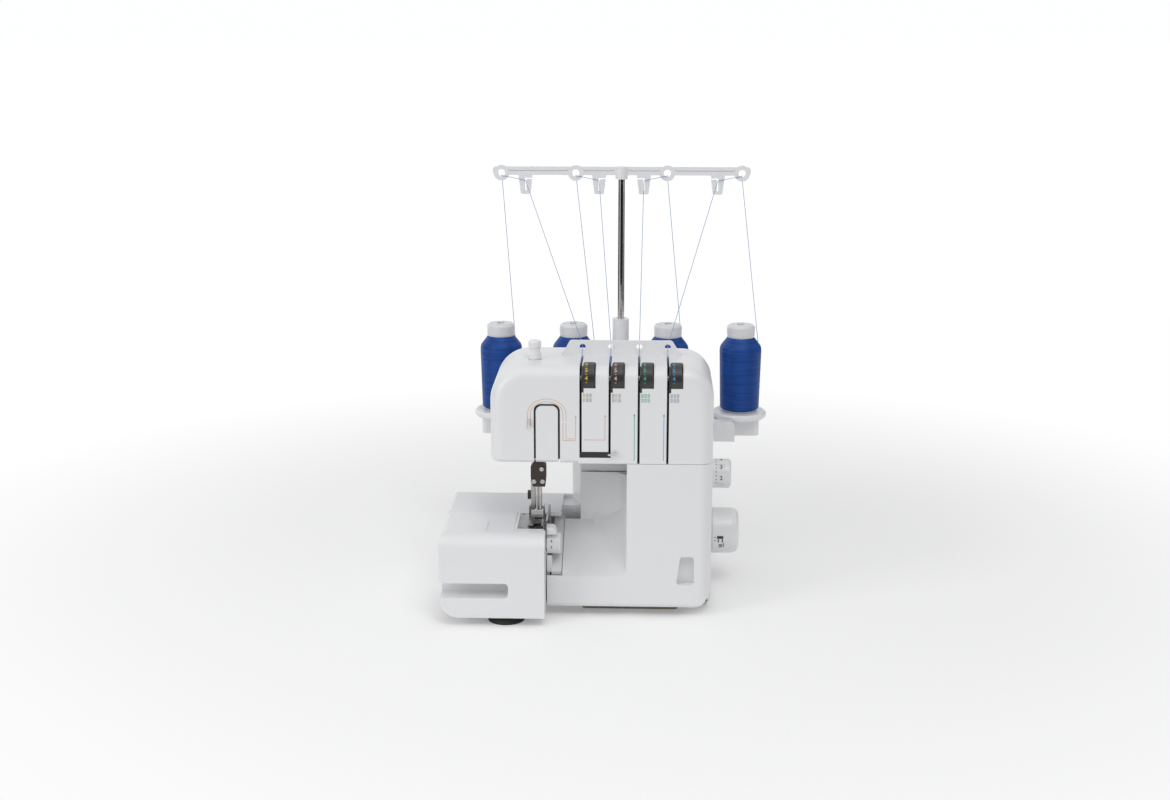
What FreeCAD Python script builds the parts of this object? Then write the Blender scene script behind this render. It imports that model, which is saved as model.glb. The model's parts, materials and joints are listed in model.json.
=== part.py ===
import FreeCAD, Part
import Sketcher
import math
import os
from types import SimpleNamespace
from FreeCAD import Vector, Rotation, Placement

# Four-thread overlock sewing machine. Millimetres, X to the right, Y to the back, Z up,
# origin on the table under the middle of the machine, the operator in front at minus Y.

os.makedirs("parts", exist_ok=True)
doc = FreeCAD.newDocument("overlock_machine")

SIZES = {
    # shared allowances
    "wall": 2.5,
    "seam": 0.4,
    "fit": 0.05,
    "seat_gap": 0.3,
    # casing outline
    "plate_bottom": 5.0,
    "base_bottom": 8.0,
    "bed_top": 90.0,
    "bed_drop": 4.0,
    "head_bottom": 156.0,
    "head_top": 250.0,
    "head_left": 118.0,
    "body_right": 97.0,
    "front_reach": 106.0,
    "head_depth": 100.0,
    "body_back": 52.0,
    "roof_back": 128.0,
    "top_left_round": 34.0,
    "top_right_round": 30.0,
    "front_edge_round": 13.0,
    "head_foot_round": 4.0,
    "head_split": 40.0,
    # front cover
    "cover_left": 49.0,
    "cover_band_left": 63.8,
    "fairing_left": 59.4,
    "panel_left": 14.0,
    "cover_side_depth": 22.0,
    "band_top": 41.0,
    "scoop_top": 78.0,
    "scoop_back": 40.0,
    "lip_back": 25.0,
    "wing_top": 128.0,
    "back_wall": 40.0,
    "back_wall_left": 33.0,
    "cover_corner": 22.0,
    "sill_round": 6.0,
    "hinge_inset": 10.0,
    "hinge_height": 15.0,
    "hinge_radius": 2.5,
    "cover_travel": 8.0,
    # bed and sub table
    "arm_left": 160.0,
    "arm_front": 55.0,
    "arm_back": 8.0,
    "nose_left": 95.0,
    "nose_right": 66.5,
    "nose_front": 112.0,
    "step_front": 24.0,
    "column_left": 33.0,
    "column_flare": 10.0,
    "table_left": 166.0,
    "table_right": 64.5,
    "table_front": 137.0,
    "dish_left": 122.0,
    "dish_y": 99.0,
    "dish_radius": 190.0,
    "dish_deep": 0.9,
    "table_fold": 18.0,
    "table_corner": 18.0,
    "grip_low": 28.5,
    "grip_high": 43.5,
    "grip_end": 99.5,
    "grip_depth": 22.0,
    # needle, presser and feed
    "needle_x": 72.5,
    "needle_y": 84.0,
    "needle_bar_radius": 3.2,
    "presser_x": 76.5,
    "presser_y": 66.0,
    "presser_bar_radius": 3.5,
    "clamp_bottom": 127.0,
    "clamp_top": 152.0,
    "clamp_wide": 15.0,
    "needle_tip": 98.0,
    "pin_radius": 3.0,
    "plate_thick": 2.0,
    "plate_left": 92.0,
    "plate_front": 108.0,
    "plate_back": 58.0,
    "foot_bottom": 91.2,
    "feed_rise": 0.7,
    "block_low": 190.0,
    "block_high": 216.0,
    # tension
    "slot_first": 30.6,
    "slot_pitch": 27.8,
    "slot_wide": 2.2,
    "slot_end": 162.5,
    "dial_radius": 15.5,
    "dial_wide": 11.2,
    "dial_inset": 14.5,
    "dial_z": 237.0,
    "axle_radius": 2.5,
    "guide_y": 48.0,
    "guide_high": 15.0,
    "eyelet_radius": 3.0,
    "eyelet_z": 258.5,
    # right side
    "shaft_y": 8.0,
    "shaft_z": 58.0,
    "shaft_radius": 5.0,
    "bush_radius": 8.0,
    "wheel_radius": 23.7,
    "wheel_wide": 28.0,
    "length_z": 118.7,
    "length_radius": 14.9,
    "length_wide": 22.0,
    "width_y": 90.0,
    "width_z": 70.0,
    "width_radius": 8.5,
    # drive
    "motor_y": 22.0,
    "motor_z": 106.0,
    "motor_radius": 23.0,
    "pulley_radius": 24.0,
    "pinion_radius": 8.0,
    "belt_thick": 1.6,
    # spool stand
    "stand_x": 4.5,
    "stand_y": 108.0,
    "stand_low": 131.0,
    "stand_high": 149.0,
    "outer_pitch": 128.5,
    "inner_pitch": 50.5,
    "holder_radius": 29.0,
    "holder_top": 156.0,
    "sleeve_radius": 8.8,
    "sleeve_top": 256.0,
    "pole_radius": 3.6,
    "pole_low": 236.0,
    "pole_cover": 3.5,
    "bar_half": 135.0,
    "bar_drop": 2.0,
    "bar_rise": 6.5,
    "bar_thick": 5.0,
    "eye_outer": 126.0,
    "eye_inner": 48.0,
    "eye_z": 411.0,
    "eye_radius": 3.9,
    "hook_outer": 100.7,
    "hook_inner": 23.4,
    "hook_drop": 22.0,
    "winding_radius": 22.5,
    "winding_top": 237.0,
    "cap_radius": 14.9,
    "cap_top": 250.5,
    "thread_radius": 0.3,
}


class Size:
    def __init__(self, text, value):
        self.text = text
        self.value = value

    def __add__(self, other):
        return Size(f"({self.text} + {text_of(other)})", self.value + value_of(other))

    def __radd__(self, other):
        return Size(f"({text_of(other)} + {self.text})", value_of(other) + self.value)

    def __sub__(self, other):
        return Size(f"({self.text} - {text_of(other)})", self.value - value_of(other))

    def __rsub__(self, other):
        return Size(f"({text_of(other)} - {self.text})", value_of(other) - self.value)

    def __mul__(self, other):
        return Size(f"({self.text} * {text_of(other)})", self.value * value_of(other))

    def __rmul__(self, other):
        return Size(f"({text_of(other)} * {self.text})", value_of(other) * self.value)

    def __truediv__(self, other):
        return Size(f"({self.text} / {text_of(other)})", self.value / value_of(other))

    def __neg__(self):
        return Size(f"(0 - {self.text})", -self.value)


def value_of(size):
    return size.value if isinstance(size, Size) else float(size)


def text_of(size):
    return size.text if isinstance(size, Size) else f"({float(size)!r})"


sheet = doc.addObject("Spreadsheet::Sheet", "Dims")
for row, (name, value) in enumerate(SIZES.items(), 1):
    sheet.set(f"A{row}", name)
    sheet.set(f"B{row}", str(value))
    sheet.setAlias(f"B{row}", name)
doc.recompute()
d = SimpleNamespace(**{name: Size(f"Dims.{name}", value) for name, value in SIZES.items()})

PIECES = []
counter = [0]


def fresh(stem):
    counter[0] += 1
    return f"{stem}_{counter[0]}"


def bind(obj, **props):
    for prop, size in props.items():
        obj.setExpression(prop.replace("__", "."), text_of(size))


def place(obj, x, y, z):
    bind(obj, Placement__Base__x=x, Placement__Base__y=y, Placement__Base__z=z)


def box(x0, x1, y0, y1, z0, z1):
    obj = doc.addObject("Part::Box", fresh("block"))
    bind(obj, Length=x1 - x0, Width=y1 - y0, Height=z1 - z0)
    place(obj, x0, y0, z0)
    return obj


TURN = {
    "Z": Rotation(),
    "X": Rotation(Vector(0, 1, 0), 90),
    "Y": Rotation(Vector(1, 0, 0), -90),
}


def rod(axis, x, y, z, radius, length):
    obj = doc.addObject("Part::Cylinder", fresh("rod"))
    obj.Placement = Placement(Vector(), TURN[axis])
    bind(obj, Radius=radius, Height=length)
    place(obj, x, y, z)
    return obj


def cut(base, *tools):
    obj = doc.addObject("Part::Cut", fresh("cut"))
    obj.Base = base
    obj.Tool = tools[0] if len(tools) == 1 else fuse(*tools)
    obj.Refine = True
    return obj


def fuse(*shapes):
    obj = doc.addObject("Part::MultiFuse", fresh("union"))
    obj.Shapes = list(shapes)
    obj.Refine = True
    return obj


def common(*shapes):
    obj = doc.addObject("Part::MultiCommon", fresh("shared"))
    obj.Shapes = list(shapes)
    obj.Refine = True
    return obj


def group(*shapes):
    obj = doc.addObject("Part::Compound", fresh("set"))
    obj.Links = list(shapes)
    return obj


def draw(sketch, points):
    count = len(points)
    spots = [Vector(value_of(u), value_of(v), 0) for u, v in points]
    for i in range(count):
        sketch.addGeometry(Part.LineSegment(spots[i], spots[(i + 1) % count]), False)
    for i in range(count):
        sketch.addConstraint(Sketcher.Constraint("Coincident", i, 2, (i + 1) % count, 1))
    for i, point in enumerate(points):
        for kind, size in zip(("DistanceX", "DistanceY"), point):
            index = sketch.addConstraint(Sketcher.Constraint(kind, -1, 1, i, 1, value_of(size)))
            if isinstance(size, Size):
                sketch.setExpression(f"Constraints[{index}]", size.text)


def sketch_on(body, plane, offset):
    sketch = body.newObject("Sketcher::SketchObject", fresh("outline"))
    role = plane + "_Plane"
    support = next(f for f in body.Origin.OriginFeatures if f.Role == role)
    sketch.AttachmentSupport = [(support, "")]
    sketch.MapMode = "FlatFace"
    bind(sketch, AttachmentOffset__Base__z=offset)
    return sketch


ACROSS = {"XY": (0, 1, 2), "XZ": (0, 2, 1), "YZ": (1, 2, 0)}


def edge_names(shape, test):
    return [f"Edge{i}" for i, edge in enumerate(shape.Edges, 1) if test(edge)]


def soften(body, radius, test):
    before = body.Tip
    fillet = body.newObject("PartDesign::Fillet", fresh("round"))
    fillet.Base = (before, edge_names(before.Shape, test))
    bind(fillet, Radius=radius)
    doc.recompute()
    body.Tip = fillet
    return fillet


def prism(plane, points, low, high, corners=None):
    # A closed outline drawn on a datum plane and padded from low to high along its normal.
    body = doc.addObject("PartDesign::Body", fresh("prism"))
    sketch = sketch_on(body, plane, -high if plane == "XZ" else low)
    draw(sketch, points)
    pad = body.newObject("PartDesign::Pad", fresh("pad"))
    pad.Profile = sketch
    bind(pad, Length=high - low)
    doc.recompute()
    u, v, w = ACROSS[plane]
    by_radius = {}
    for index, radius in (corners or {}).items():
        by_radius.setdefault(text_of(radius), (radius, []))[1].append(points[index])
    for radius, spots in by_radius.values():
        def at_corner(edge, spots=spots):
            ends = [vertex.Point for vertex in edge.Vertexes]
            if len(ends) < 2 or abs(ends[0][w] - ends[1][w]) < 1e-6:
                return False
            for spot in spots:
                gaps = [abs(p[u] - value_of(spot[0])) + abs(p[v] - value_of(spot[1])) for p in ends]
                if max(gaps) < 1e-5:
                    return True
            return False
        soften(body, radius, at_corner)
    return body


def on_level(axis, level, keep=None):
    def test(edge):
        spots = [vertex.Point for vertex in edge.Vertexes] + [edge.CenterOfMass]
        flat = all(abs(p[axis] - value_of(level)) < 1e-5 for p in spots)
        return flat and (keep is None or keep(edge.CenterOfMass))
    return test


def turned(profile, axis, x, y, z):
    # A profile of (radius, height) points spun about the named axis through x, y, z.
    body = doc.addObject("PartDesign::Body", fresh("turned"))
    sketch = sketch_on(body, "XZ", 0.0)
    draw(sketch, profile)
    spin = body.newObject("PartDesign::Revolution", fresh("spin"))
    spin.Profile = sketch
    spin.ReferenceAxis = (sketch, ["V_Axis"])
    spin.Angle = 360.0
    body.Placement = Placement(Vector(), TURN[axis])
    place(body, x, y, z)
    doc.recompute()
    return body


def piece(label, obj):
    obj.Label = label
    PIECES.append(obj)
    return obj


front = -d.front_reach
dial_y = d.front_reach - d.dial_inset
rail_low = d.eye_z - d.bar_drop
rail_high = d.eye_z + d.bar_rise
pole_high = rail_high - d.pole_cover
hook_low = d.eye_z - d.hook_drop
left = -d.head_left
head_back = front + d.head_depth
plate_right = -d.nose_right
slots = [-d.slot_first + d.slot_pitch * i for i in range(4)]
step = -d.step_front
far = 400.0

# Head casing: one rounded form, hollow, parted into a front and a rear shell.


def head_form(inset):
    outline = [
        (left + inset, d.head_bottom + inset),
        (d.body_right - inset, d.head_bottom + inset),
        (d.body_right - inset, d.head_top - inset),
        (left + inset, d.head_top - inset),
    ]
    rounds = {2: d.top_right_round - inset, 3: d.top_left_round - inset}
    body = prism("XZ", outline, front + inset, head_back - inset, rounds)
    floor = value_of(d.head_bottom + inset) + 1
    soften(body, d.front_edge_round - inset, on_level(1, front + inset, lambda p: p.z > floor))
    soften(body, 8.0 - inset, on_level(1, head_back - inset, lambda p: p.z > floor))
    return body


head_soft = head_form(0.0)
soften(head_soft, d.head_foot_round, on_level(2, d.head_bottom))
skirt = common(head_form(0.0), box(-d.column_left, far, -far, far, 0.0, far))
head_shell = cut(
    fuse(head_soft, skirt),
    head_form(d.wall),
    box(-d.column_left + d.wall, d.body_right - d.wall, front + 8.0, head_back - d.wall,
        d.head_bottom - 2.0, d.head_bottom + d.wall + 2.0),
)
arch_left = -75.6
arch_right = -50.4
arch_top = 214.7
arch_gap = 2.0


def arch(grow, low, y0, y1):
    outline = [
        (arch_left - grow, low),
        (arch_right + grow, low),
        (arch_right + grow, arch_top + grow),
        (arch_left - grow, arch_top + grow),
    ]
    return prism("XZ", outline, y0, y1, {2: 7.0 + grow, 3: 7.0 + grow})


face_cuts = [arch(0.0, d.head_bottom - 2.0, front - 3.0, front + 14.0)]
for i, slot in enumerate(slots):
    low = d.slot_end if i < 2 else d.head_bottom - 1.0
    face_cuts.append(box(slot - d.slot_wide / 2, slot + d.slot_wide / 2, front - 2.0,
                         -d.guide_y - 2.5, low, d.head_top + 2.0))
    face_cuts.append(rod("X", slot + d.slot_wide / 2 + 1.0, -dial_y, d.dial_z, d.dial_radius + 0.4,
                         d.dial_wide + 1.0))
face_cuts.append(box(slots[0], slots[1], front - 2.0, front + 6.0, d.slot_end, d.slot_end + 5.0))
face_cuts.append(rod("Z", -d.needle_x, -d.needle_y, d.head_bottom - 2.0, 6.0, 8.0))
face_cuts.append(rod("Z", -d.presser_x, -d.presser_y, d.head_bottom - 2.0, 6.5, 8.0))
face_cuts.append(rod("Z", -d.presser_x, -d.presser_y, d.head_top - 6.0, 6.25 + d.seat_gap, 10.0))
piece("head_front_shell", cut(
    common(head_shell, box(-far, far, -far, -d.head_split, 0.0, far)), *face_cuts))
piece("head_rear_shell", cut(
    common(head_shell, box(-far, far, -d.head_split + d.seam, far, 0.0, far)),
    box(-81.0, -72.0, head_back - 6.0, head_back + 2.0, 157.0, 192.0)))

piece("take_up_cover", fuse(
    prism("XZ", [(arch_left + arch_gap, d.head_bottom + 3.0), (arch_right - arch_gap, d.head_bottom + 3.0),
                 (arch_right - arch_gap, arch_top - arch_gap), (arch_left + arch_gap, arch_top - arch_gap)],
          front - 0.6, front + d.wall, {2: 6.0, 3: 6.0}),
    box(arch_left + arch_gap, arch_right - arch_gap, front - 0.6 + 3.0, front + 13.0,
        d.head_bottom + 0.6, d.head_bottom + 0.6 + d.wall),
    prism("YZ", [(front - 0.6, d.head_bottom + 3.0), (front + 2.4, d.head_bottom + 0.6),
                 (front + 3.4, d.head_bottom + 3.1), (front + d.wall, d.head_bottom + 6.0),
                 (front - 0.6, d.head_bottom + 6.0)], arch_left + arch_gap, arch_right - arch_gap),
    rod("Y", -63.0, front + 1.0, d.block_low + 12.0, 3.0, 7.7)))

guide_top = d.head_top + d.guide_high
guide_plate = fuse(
    prism("XZ", [(-51.0, d.head_top), (66.0, d.head_top), (57.0, guide_top), (-43.0, guide_top)],
          -d.guide_y - 1.5, -d.guide_y + 1.5, {2: 4.0, 3: 4.0}),
    box(-51.0, 66.0, -d.guide_y, -d.guide_y + 7.0, d.head_top, d.head_top + 2.0))
piece("thread_guide_plate", cut(guide_plate, *[
    rod("Y", slot, -d.guide_y - 5.0, d.eyelet_z, d.eyelet_radius, 16.0) for slot in slots]))

hook_z = d.slot_end + 4.0
piece("face_thread_guides", group(
    fuse(box(slots[1] + 4.5, slots[1] + 6.1, front - 4.0, front, hook_z, hook_z + 1.6),
         box(slots[1] - 1.5, slots[1] + 6.1, front - 4.0, front - 2.6, hook_z - 1.6, hook_z),
         box(slots[1] + 4.5, slots[1] + 6.1, front - 4.0, front - 2.6, hook_z - 1.6, hook_z + 1.6)),
    fuse(box(-80.6, -79.4, front - 3.0, front, 193.0, 200.0),
         box(-79.4, -77.4, front - 3.0, front - 2.0, 193.0, 194.2))))

# Tension units: number drums on one axle behind the windows.
piece("tension_axle", rod("X", slots[0] - 10.0, -dial_y, d.dial_z, d.axle_radius,
                          d.slot_pitch * 3 + 36.0))
bracket_ends = []
for x in (slots[0] - 8.0, slots[3] + 20.0):
    bracket_ends.append(cut(
        box(x, x + 2.0, -dial_y - 6.0, -46.0, d.dial_z - 16.0, d.dial_z + 5.0),
        rod("X", x - 1.0, -dial_y, d.dial_z, d.axle_radius, 4.0)))
piece("tension_bracket", fuse(
    box(slots[0] - 8.0, slots[3] + 22.0, -48.0, -46.0, d.block_high - 14.0, d.dial_z + 5.0), *bracket_ends))
discs = []
for i, slot in enumerate(slots):
    start = slot + d.slot_wide / 2 + 1.5
    drum = [
        (d.axle_radius + d.fit, 0.0),
        (d.dial_radius - 0.8, 0.0),
        (d.dial_radius, 0.8),
        (d.dial_radius, d.dial_wide - 0.8),
        (d.dial_radius - 0.8, d.dial_wide),
        (d.axle_radius + d.fit, d.dial_wide),
    ]
    piece(f"tension_dial_{i + 1}", turned(drum, "X", start, -dial_y, d.dial_z))
    for shift in (-1.9, 0.7):
        disc = [(d.axle_radius, 0.0), (9.5, 0.0), (9.5, 1.0), (d.axle_radius, 1.0)]
        discs.append(turned(disc, "X", slot + shift, -dial_y, d.dial_z))
piece("tension_discs", group(*discs))

# Lower casing of the column, with its right side as a cover of its own.


mouth_right = d.panel_left + d.wall
mouth_left = -d.back_wall_left + 14.0


def column_form(inset, outside):
    right = d.body_right - inset
    back = d.body_back - inset
    near = front + d.cover_side_depth + d.seam
    flank = [
        (right, near if outside else near - 12.0),
        (right, back),
        (-d.column_left - d.column_flare + inset, back),
        (-d.column_left - d.column_flare + inset, d.arm_back + 0.0),
        (-d.column_left + inset, step + inset),
    ]
    if outside:
        mouth = [(mouth_right, step), (mouth_right, near)]
    else:
        mouth = [(mouth_left, step + inset), (mouth_left, near - 12.0)]
    low = d.base_bottom - inset
    high = d.head_bottom - d.seam
    body = prism("XY", flank + mouth, low, high + inset, {1: 20.0 - inset, 2: 20.0 - inset})
    lean = [
        (-far, low - 1.0),
        (back, low - 1.0),
        (back, d.roof_back - inset),
        (head_back, high - inset),
        (head_back - inset, high + inset + 1.0),
        (-far, high + inset + 1.0),
    ]
    return common(body, prism("YZ", lean, -far, far))


tunnel = box(-d.column_left - 22.0, -d.column_left + 8.0, -d.step_front + 4.0, d.arm_back - 3.0,
             d.base_bottom - 2.0, d.bed_top - 8.0)
pins_at = ((-42.0, 27.0), (-26.0, 40.0))
pin_holes = [rod("Y", x, -d.step_front - 6.0, z, 5.0, 14.0) for x, z in pins_at]
hinge_y = front + d.hinge_inset
swing_reach = d.head_bottom - d.seam - d.hinge_height
brow_near = front + d.cover_side_depth + d.seam
brow_front = -d.back_wall + d.wall + 0.5
brow_low = d.wing_top + d.seam
brow_high = d.head_bottom - d.seam
brow = fuse(
    box(-d.back_wall_left, d.panel_left + 1.7, brow_front, brow_front + d.wall, brow_low, brow_high),
    box(-d.back_wall_left, -d.back_wall_left + d.wall, brow_front, step + d.wall, brow_low, brow_high),
    cut(box(d.panel_left - 0.5, d.panel_left + 1.7, brow_near, brow_front + d.wall, brow_low, brow_high),
        rod("X", d.panel_left - 2.0, hinge_y, d.hinge_height, swing_reach + 0.6, 6.0)))
column_shell = fuse(cut(column_form(0.0, True), column_form(d.wall, False)), brow)
side_line = d.body_right - 11.0
column_panel = cut(common(column_shell, box(side_line - far * 2, side_line - d.seam, -far, far, 0.0, far)),
                   tunnel, *pin_holes)
piece("column_casing", column_panel)
side_panel = fuse(
    common(column_shell, box(side_line, side_line + far, -far, far, 0.0, far)),
    rod("X", d.body_right - d.wall - 8.0, -d.shaft_y, d.length_z, 7.0, 9.0))
inlet_y = 22.0
inlet_z = 24.0
switch_z = 48.0
piece("side_cover", cut(
    side_panel,
    rod("X", d.body_right - 12.0, -d.shaft_y, d.shaft_z, d.bush_radius + 1.0, 20.0),
    rod("X", d.body_right - 14.0, -d.shaft_y, d.length_z, 4.0 + d.fit, 20.0),
    box(d.body_right - 4.0, d.body_right + 2.0, inlet_y - 11.0 - d.seat_gap, inlet_y + 11.0 + d.seat_gap,
        inlet_z - 7.0 - d.seat_gap, inlet_z + 7.0 + d.seat_gap),
    box(d.body_right - 4.0, d.body_right + 2.0, inlet_y - 7.0 - d.seat_gap, inlet_y + 7.0 + d.seat_gap,
        switch_z - 10.0 - d.seat_gap, switch_z + 10.0 + d.seat_gap)))

inlet = cut(
    fuse(box(d.body_right - 12.0, d.body_right + 0.6, inlet_y - 11.0, inlet_y + 11.0,
        inlet_z - 7.0, inlet_z + 7.0),
         box(d.body_right, d.body_right + 1.4, inlet_y - 13.0, inlet_y + 13.0, inlet_z - 9.0,
             inlet_z + 9.0)),
    box(d.body_right - 9.0, d.body_right + 3.0, inlet_y - 8.5, inlet_y + 8.5, inlet_z - 4.5, inlet_z + 4.5))
pins = [rod("X", d.body_right - 10.0, inlet_y + shift, inlet_z, 1.2, 5.0) for shift in (-5.0, 0.0, 5.0)]
piece("power_inlet", fuse(inlet, *pins))
rocker = prism("XY", [(d.body_right - 9.0, inlet_y - 6.6), (d.body_right + 1.0, inlet_y - 6.6),
                      (d.body_right + 1.0, inlet_y + 6.6), (d.body_right - 9.0, inlet_y + 6.6)],
               switch_z - 8.6, switch_z + 8.6)
piece("power_switch", common(rocker, rod("Y", d.body_right - 8.0, inlet_y - 6.6, switch_z, 9.6, 13.2)))

# Bed: free arm, the nose that carries the needle plate and a fairing under the width dial.


def bed_form(inset, low, high):
    plan = [
        (-d.arm_left + inset, -d.arm_front + d.seam + inset),
        (-d.nose_left + inset, -d.arm_front + d.seam + inset),
        (-d.nose_left + inset, -d.nose_front + inset),
        (plate_right - inset, -d.nose_front + inset),
        (plate_right - inset, step + inset),
        (-d.column_left - d.seam - inset, step + inset),
        (-d.column_left - d.column_flare - d.seam - inset, d.arm_back - inset),
        (-d.arm_left + inset, d.arm_back - inset),
    ]
    body = prism("XY", plan, low, high, {0: 8.0 - inset, 7: 8.0 - inset})
    top = d.bed_top - inset
    lean = [
        (-far, low - 1.0),
        (far, low - 1.0),
        (far, top - d.bed_drop * (far + d.arm_front) / (d.arm_front + d.arm_back)),
        (-d.arm_front, top),
        (-far, top),
    ]
    return common(body, prism("YZ", lean, -far, far))


def fairing(inset, x0, x1):
    outline = [
        (front + inset, d.base_bottom + 30.0),
        (front + inset, d.band_top - inset * 1.15),
        (-d.scoop_back, d.scoop_top - inset * 1.15),
        (step - d.seam + 0.0, d.scoop_top - inset * 1.15),
        (step - d.seam + 0.0, d.base_bottom + 30.0),
    ]
    return prism("YZ", outline, x0, x1)


width_boss = rod("X", plate_right - 8.0, -d.width_y, d.width_z, 5.0, 7.0)
slope = cut(
    fairing(0.0, -d.fairing_left, -d.cover_left - 0.6),
    fairing(d.wall, -d.fairing_left - 2.0, -d.cover_left + 2.0),
    box(-far, far, -far, front + 6.0, 0.0, far))
slope_stay = box(-d.fairing_left, -d.cover_left - 0.6, step - 3.0, step + 1.0, d.scoop_top - 12.0,
    d.scoop_top)
piece("bed_casing", cut(
    fuse(cut(bed_form(0.0, d.base_bottom, d.bed_top), bed_form(d.wall, d.base_bottom - 5.0,
        d.bed_top - d.wall)),
         width_boss, slope, slope_stay),
    box(-d.plate_left - d.seat_gap, plate_right + 2.0, -d.plate_front - d.seat_gap,
        -d.plate_back + d.seat_gap,
        d.bed_top - d.plate_thick, d.bed_top + 5.0),
    box(-d.plate_left + 4.0, plate_right + 2.0, -d.plate_front + 8.0, -d.plate_back - 4.0,
        d.bed_top - 8.0, d.bed_top + 5.0),
    box(plate_right - 4.0, plate_right + 2.0, -84.8, -57.0, d.base_bottom + 2.0, d.bed_top - 5.0),
    rod("X", plate_right - 12.0, -d.width_y, d.width_z, 3.0 + d.fit, 20.0),
    rod("X", plate_right - 4.0, -34.0, 34.0, d.pin_radius, 8.0),
    tunnel, *pin_holes))

# Sub table that slides off the bed to the left.


def table_form(inset, low):
    outline = [
        (-d.table_left + inset, low),
        (-d.table_right - inset, low),
        (-d.table_right - inset, d.bed_top - inset),
        (-d.table_left + inset, d.bed_top - inset),
    ]
    rounds = {3: 5.0 - inset}
    if inset == 0.0:
        rounds[0] = d.table_corner
    block = prism("XZ", outline, -d.table_front + inset, -d.arm_front - inset, rounds)
    side = [
        (-d.table_front + inset, low),
        (-d.arm_front - inset, low),
        (-d.arm_front - inset, d.bed_top - inset),
        (-d.table_front + inset, d.bed_top - inset),
    ]
    return common(block, prism("YZ", side, -far, far, {3: d.table_fold - inset}))


def table_notch(inset):
    return box(-d.nose_left - d.seam - inset, far, -d.nose_front - d.seam - inset, far, 0.0, far)


table_hollow = cut(table_form(d.wall, d.base_bottom - 20.0), table_notch(d.wall))
table_shell = cut(table_form(0.0, d.base_bottom + d.seat_gap), table_notch(0.0), table_hollow)
grip_liner = box(-d.table_left + 1.0, -d.grip_end + d.wall, -d.table_front + 1.0,
                 -d.table_front + d.grip_depth + d.wall, d.grip_low - d.wall, d.grip_high + d.wall)
grip = prism("XZ", [(-d.table_left - 5.0, d.grip_low), (-d.grip_end, d.grip_low),
                    (-d.grip_end, d.grip_high), (-d.table_left - 5.0, d.grip_high)],
             -d.table_front - 5.0, -d.table_front + d.grip_depth, {1: 4.0, 2: 4.0})
arm_way = box(-d.arm_left - 6.0, -d.nose_left - d.seam - d.wall, -d.arm_front - 6.0, -d.arm_front + 2.0,
              0.0, d.bed_top - 8.0)
dish = rod("X", -d.dish_left, -d.dish_y, d.bed_top + d.dish_radius - d.dish_deep, d.dish_radius, 80.0)
piece("sub_table", cut(fuse(table_shell, grip_liner), grip, arm_way, dish))

# Front cover: panel, scooped apron and slanted wing in one moulding.


def cover_block(inset, reach):
    outline = [
        (-d.cover_left - reach, d.base_bottom - reach),
        (d.body_right - inset, d.base_bottom - reach),
        (d.body_right - inset, d.head_bottom - d.seam - inset),
        (-d.cover_left - reach, d.head_bottom - d.seam - inset),
    ]
    rounds = {} if reach else {1: d.cover_corner}
    face = prism("XZ", outline, front + inset, -d.lip_back + reach, rounds)
    plan = [
        (-far, front + inset),
        (d.body_right - inset, front + inset),
        (d.body_right - inset, far),
        (-far, far),
    ]
    turned_edge = prism("XY", plan, -far, far, {1: d.front_edge_round - inset})
    if reach:
        return common(face, turned_edge)
    return common(common(face, turned_edge), cover_sill())


def cover_sill():
    # The rolled lower edge of the cover.
    side = [(front, d.base_bottom), (far, d.base_bottom), (far, far), (front, far)]
    return prism("YZ", side, -far, far, {0: d.sill_round})


def scoop(inset):
    # The space above the apron, left of the panel and before the back wall.
    deep = inset * 1.15
    side = [
        (-far, d.band_top - deep - (far - d.front_reach) * 0.2),
        (front, d.band_top - deep),
        (-d.scoop_back, d.scoop_top - deep),
        (far, d.scoop_top - deep),
        (far, far),
        (-far, far),
    ]
    ahead = 30.0
    plan = [
        (-far, front - ahead),
        (d.panel_left + inset, front - ahead),
        (d.panel_left + inset, -d.back_wall + inset),
        (-far, -d.back_wall + inset),
    ]
    return common(prism("YZ", side, -far, far), prism("XY", plan, 0.0, far))


behind = fuse(
    box(d.panel_left + 8.0, far, front + d.cover_side_depth, far, 0.0, far),
    box(-far, d.panel_left, front + d.cover_side_depth, far, d.wing_top, far),
    cut(box(-far, far, hinge_y, far, d.wing_top, far),
        rod("X", -far, hinge_y, d.hinge_height, swing_reach, far * 2)),
    box(-far, far, -d.back_wall + d.wall, far, d.scoop_top, far),
    box(-far, -d.back_wall_left, -d.back_wall - 1.0, far, d.scoop_top, far))
flange = prism("YZ", [(-d.back_wall + 1.0, d.scoop_top - 1.0), (-d.lip_back, d.scoop_top - 1.0),
                      (-d.lip_back, d.wing_top - 13.0), (-d.back_wall + d.wall, d.wing_top),
                      (-d.back_wall + 1.0, d.wing_top)], -d.back_wall_left, -d.back_wall_left + d.wall)
toe = cut(
    prism("XZ", [(d.body_right - d.cover_corner, d.base_bottom), (d.body_right, d.base_bottom),
                 (d.body_right, d.base_bottom + d.cover_corner),
                 (d.body_right - d.cover_corner, d.base_bottom + d.cover_corner)],
          front + 1.0, front + 19.0, {1: d.cover_corner - 0.01}),
    prism("XZ", [(d.body_right - d.cover_corner - 1.0, d.base_bottom + d.wall),
                 (d.body_right - d.wall, d.base_bottom + d.wall),
                 (d.body_right - d.wall, d.base_bottom + d.cover_corner + 1.0),
                 (d.body_right - d.cover_corner - 1.0, d.base_bottom + d.cover_corner + 1.0)],
          front, front + 21.0, {1: d.cover_corner - d.wall}))
toe = common(toe, cover_block(0.0, 0.0))
cover_solid = cut(cover_block(0.0, 0.0), scoop(0.0))
cover_room = cut(cover_block(d.wall, 20.0), scoop(d.wall))
knuckle_at = (-30.0, 10.0, 70.0)
knuckles = []
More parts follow.
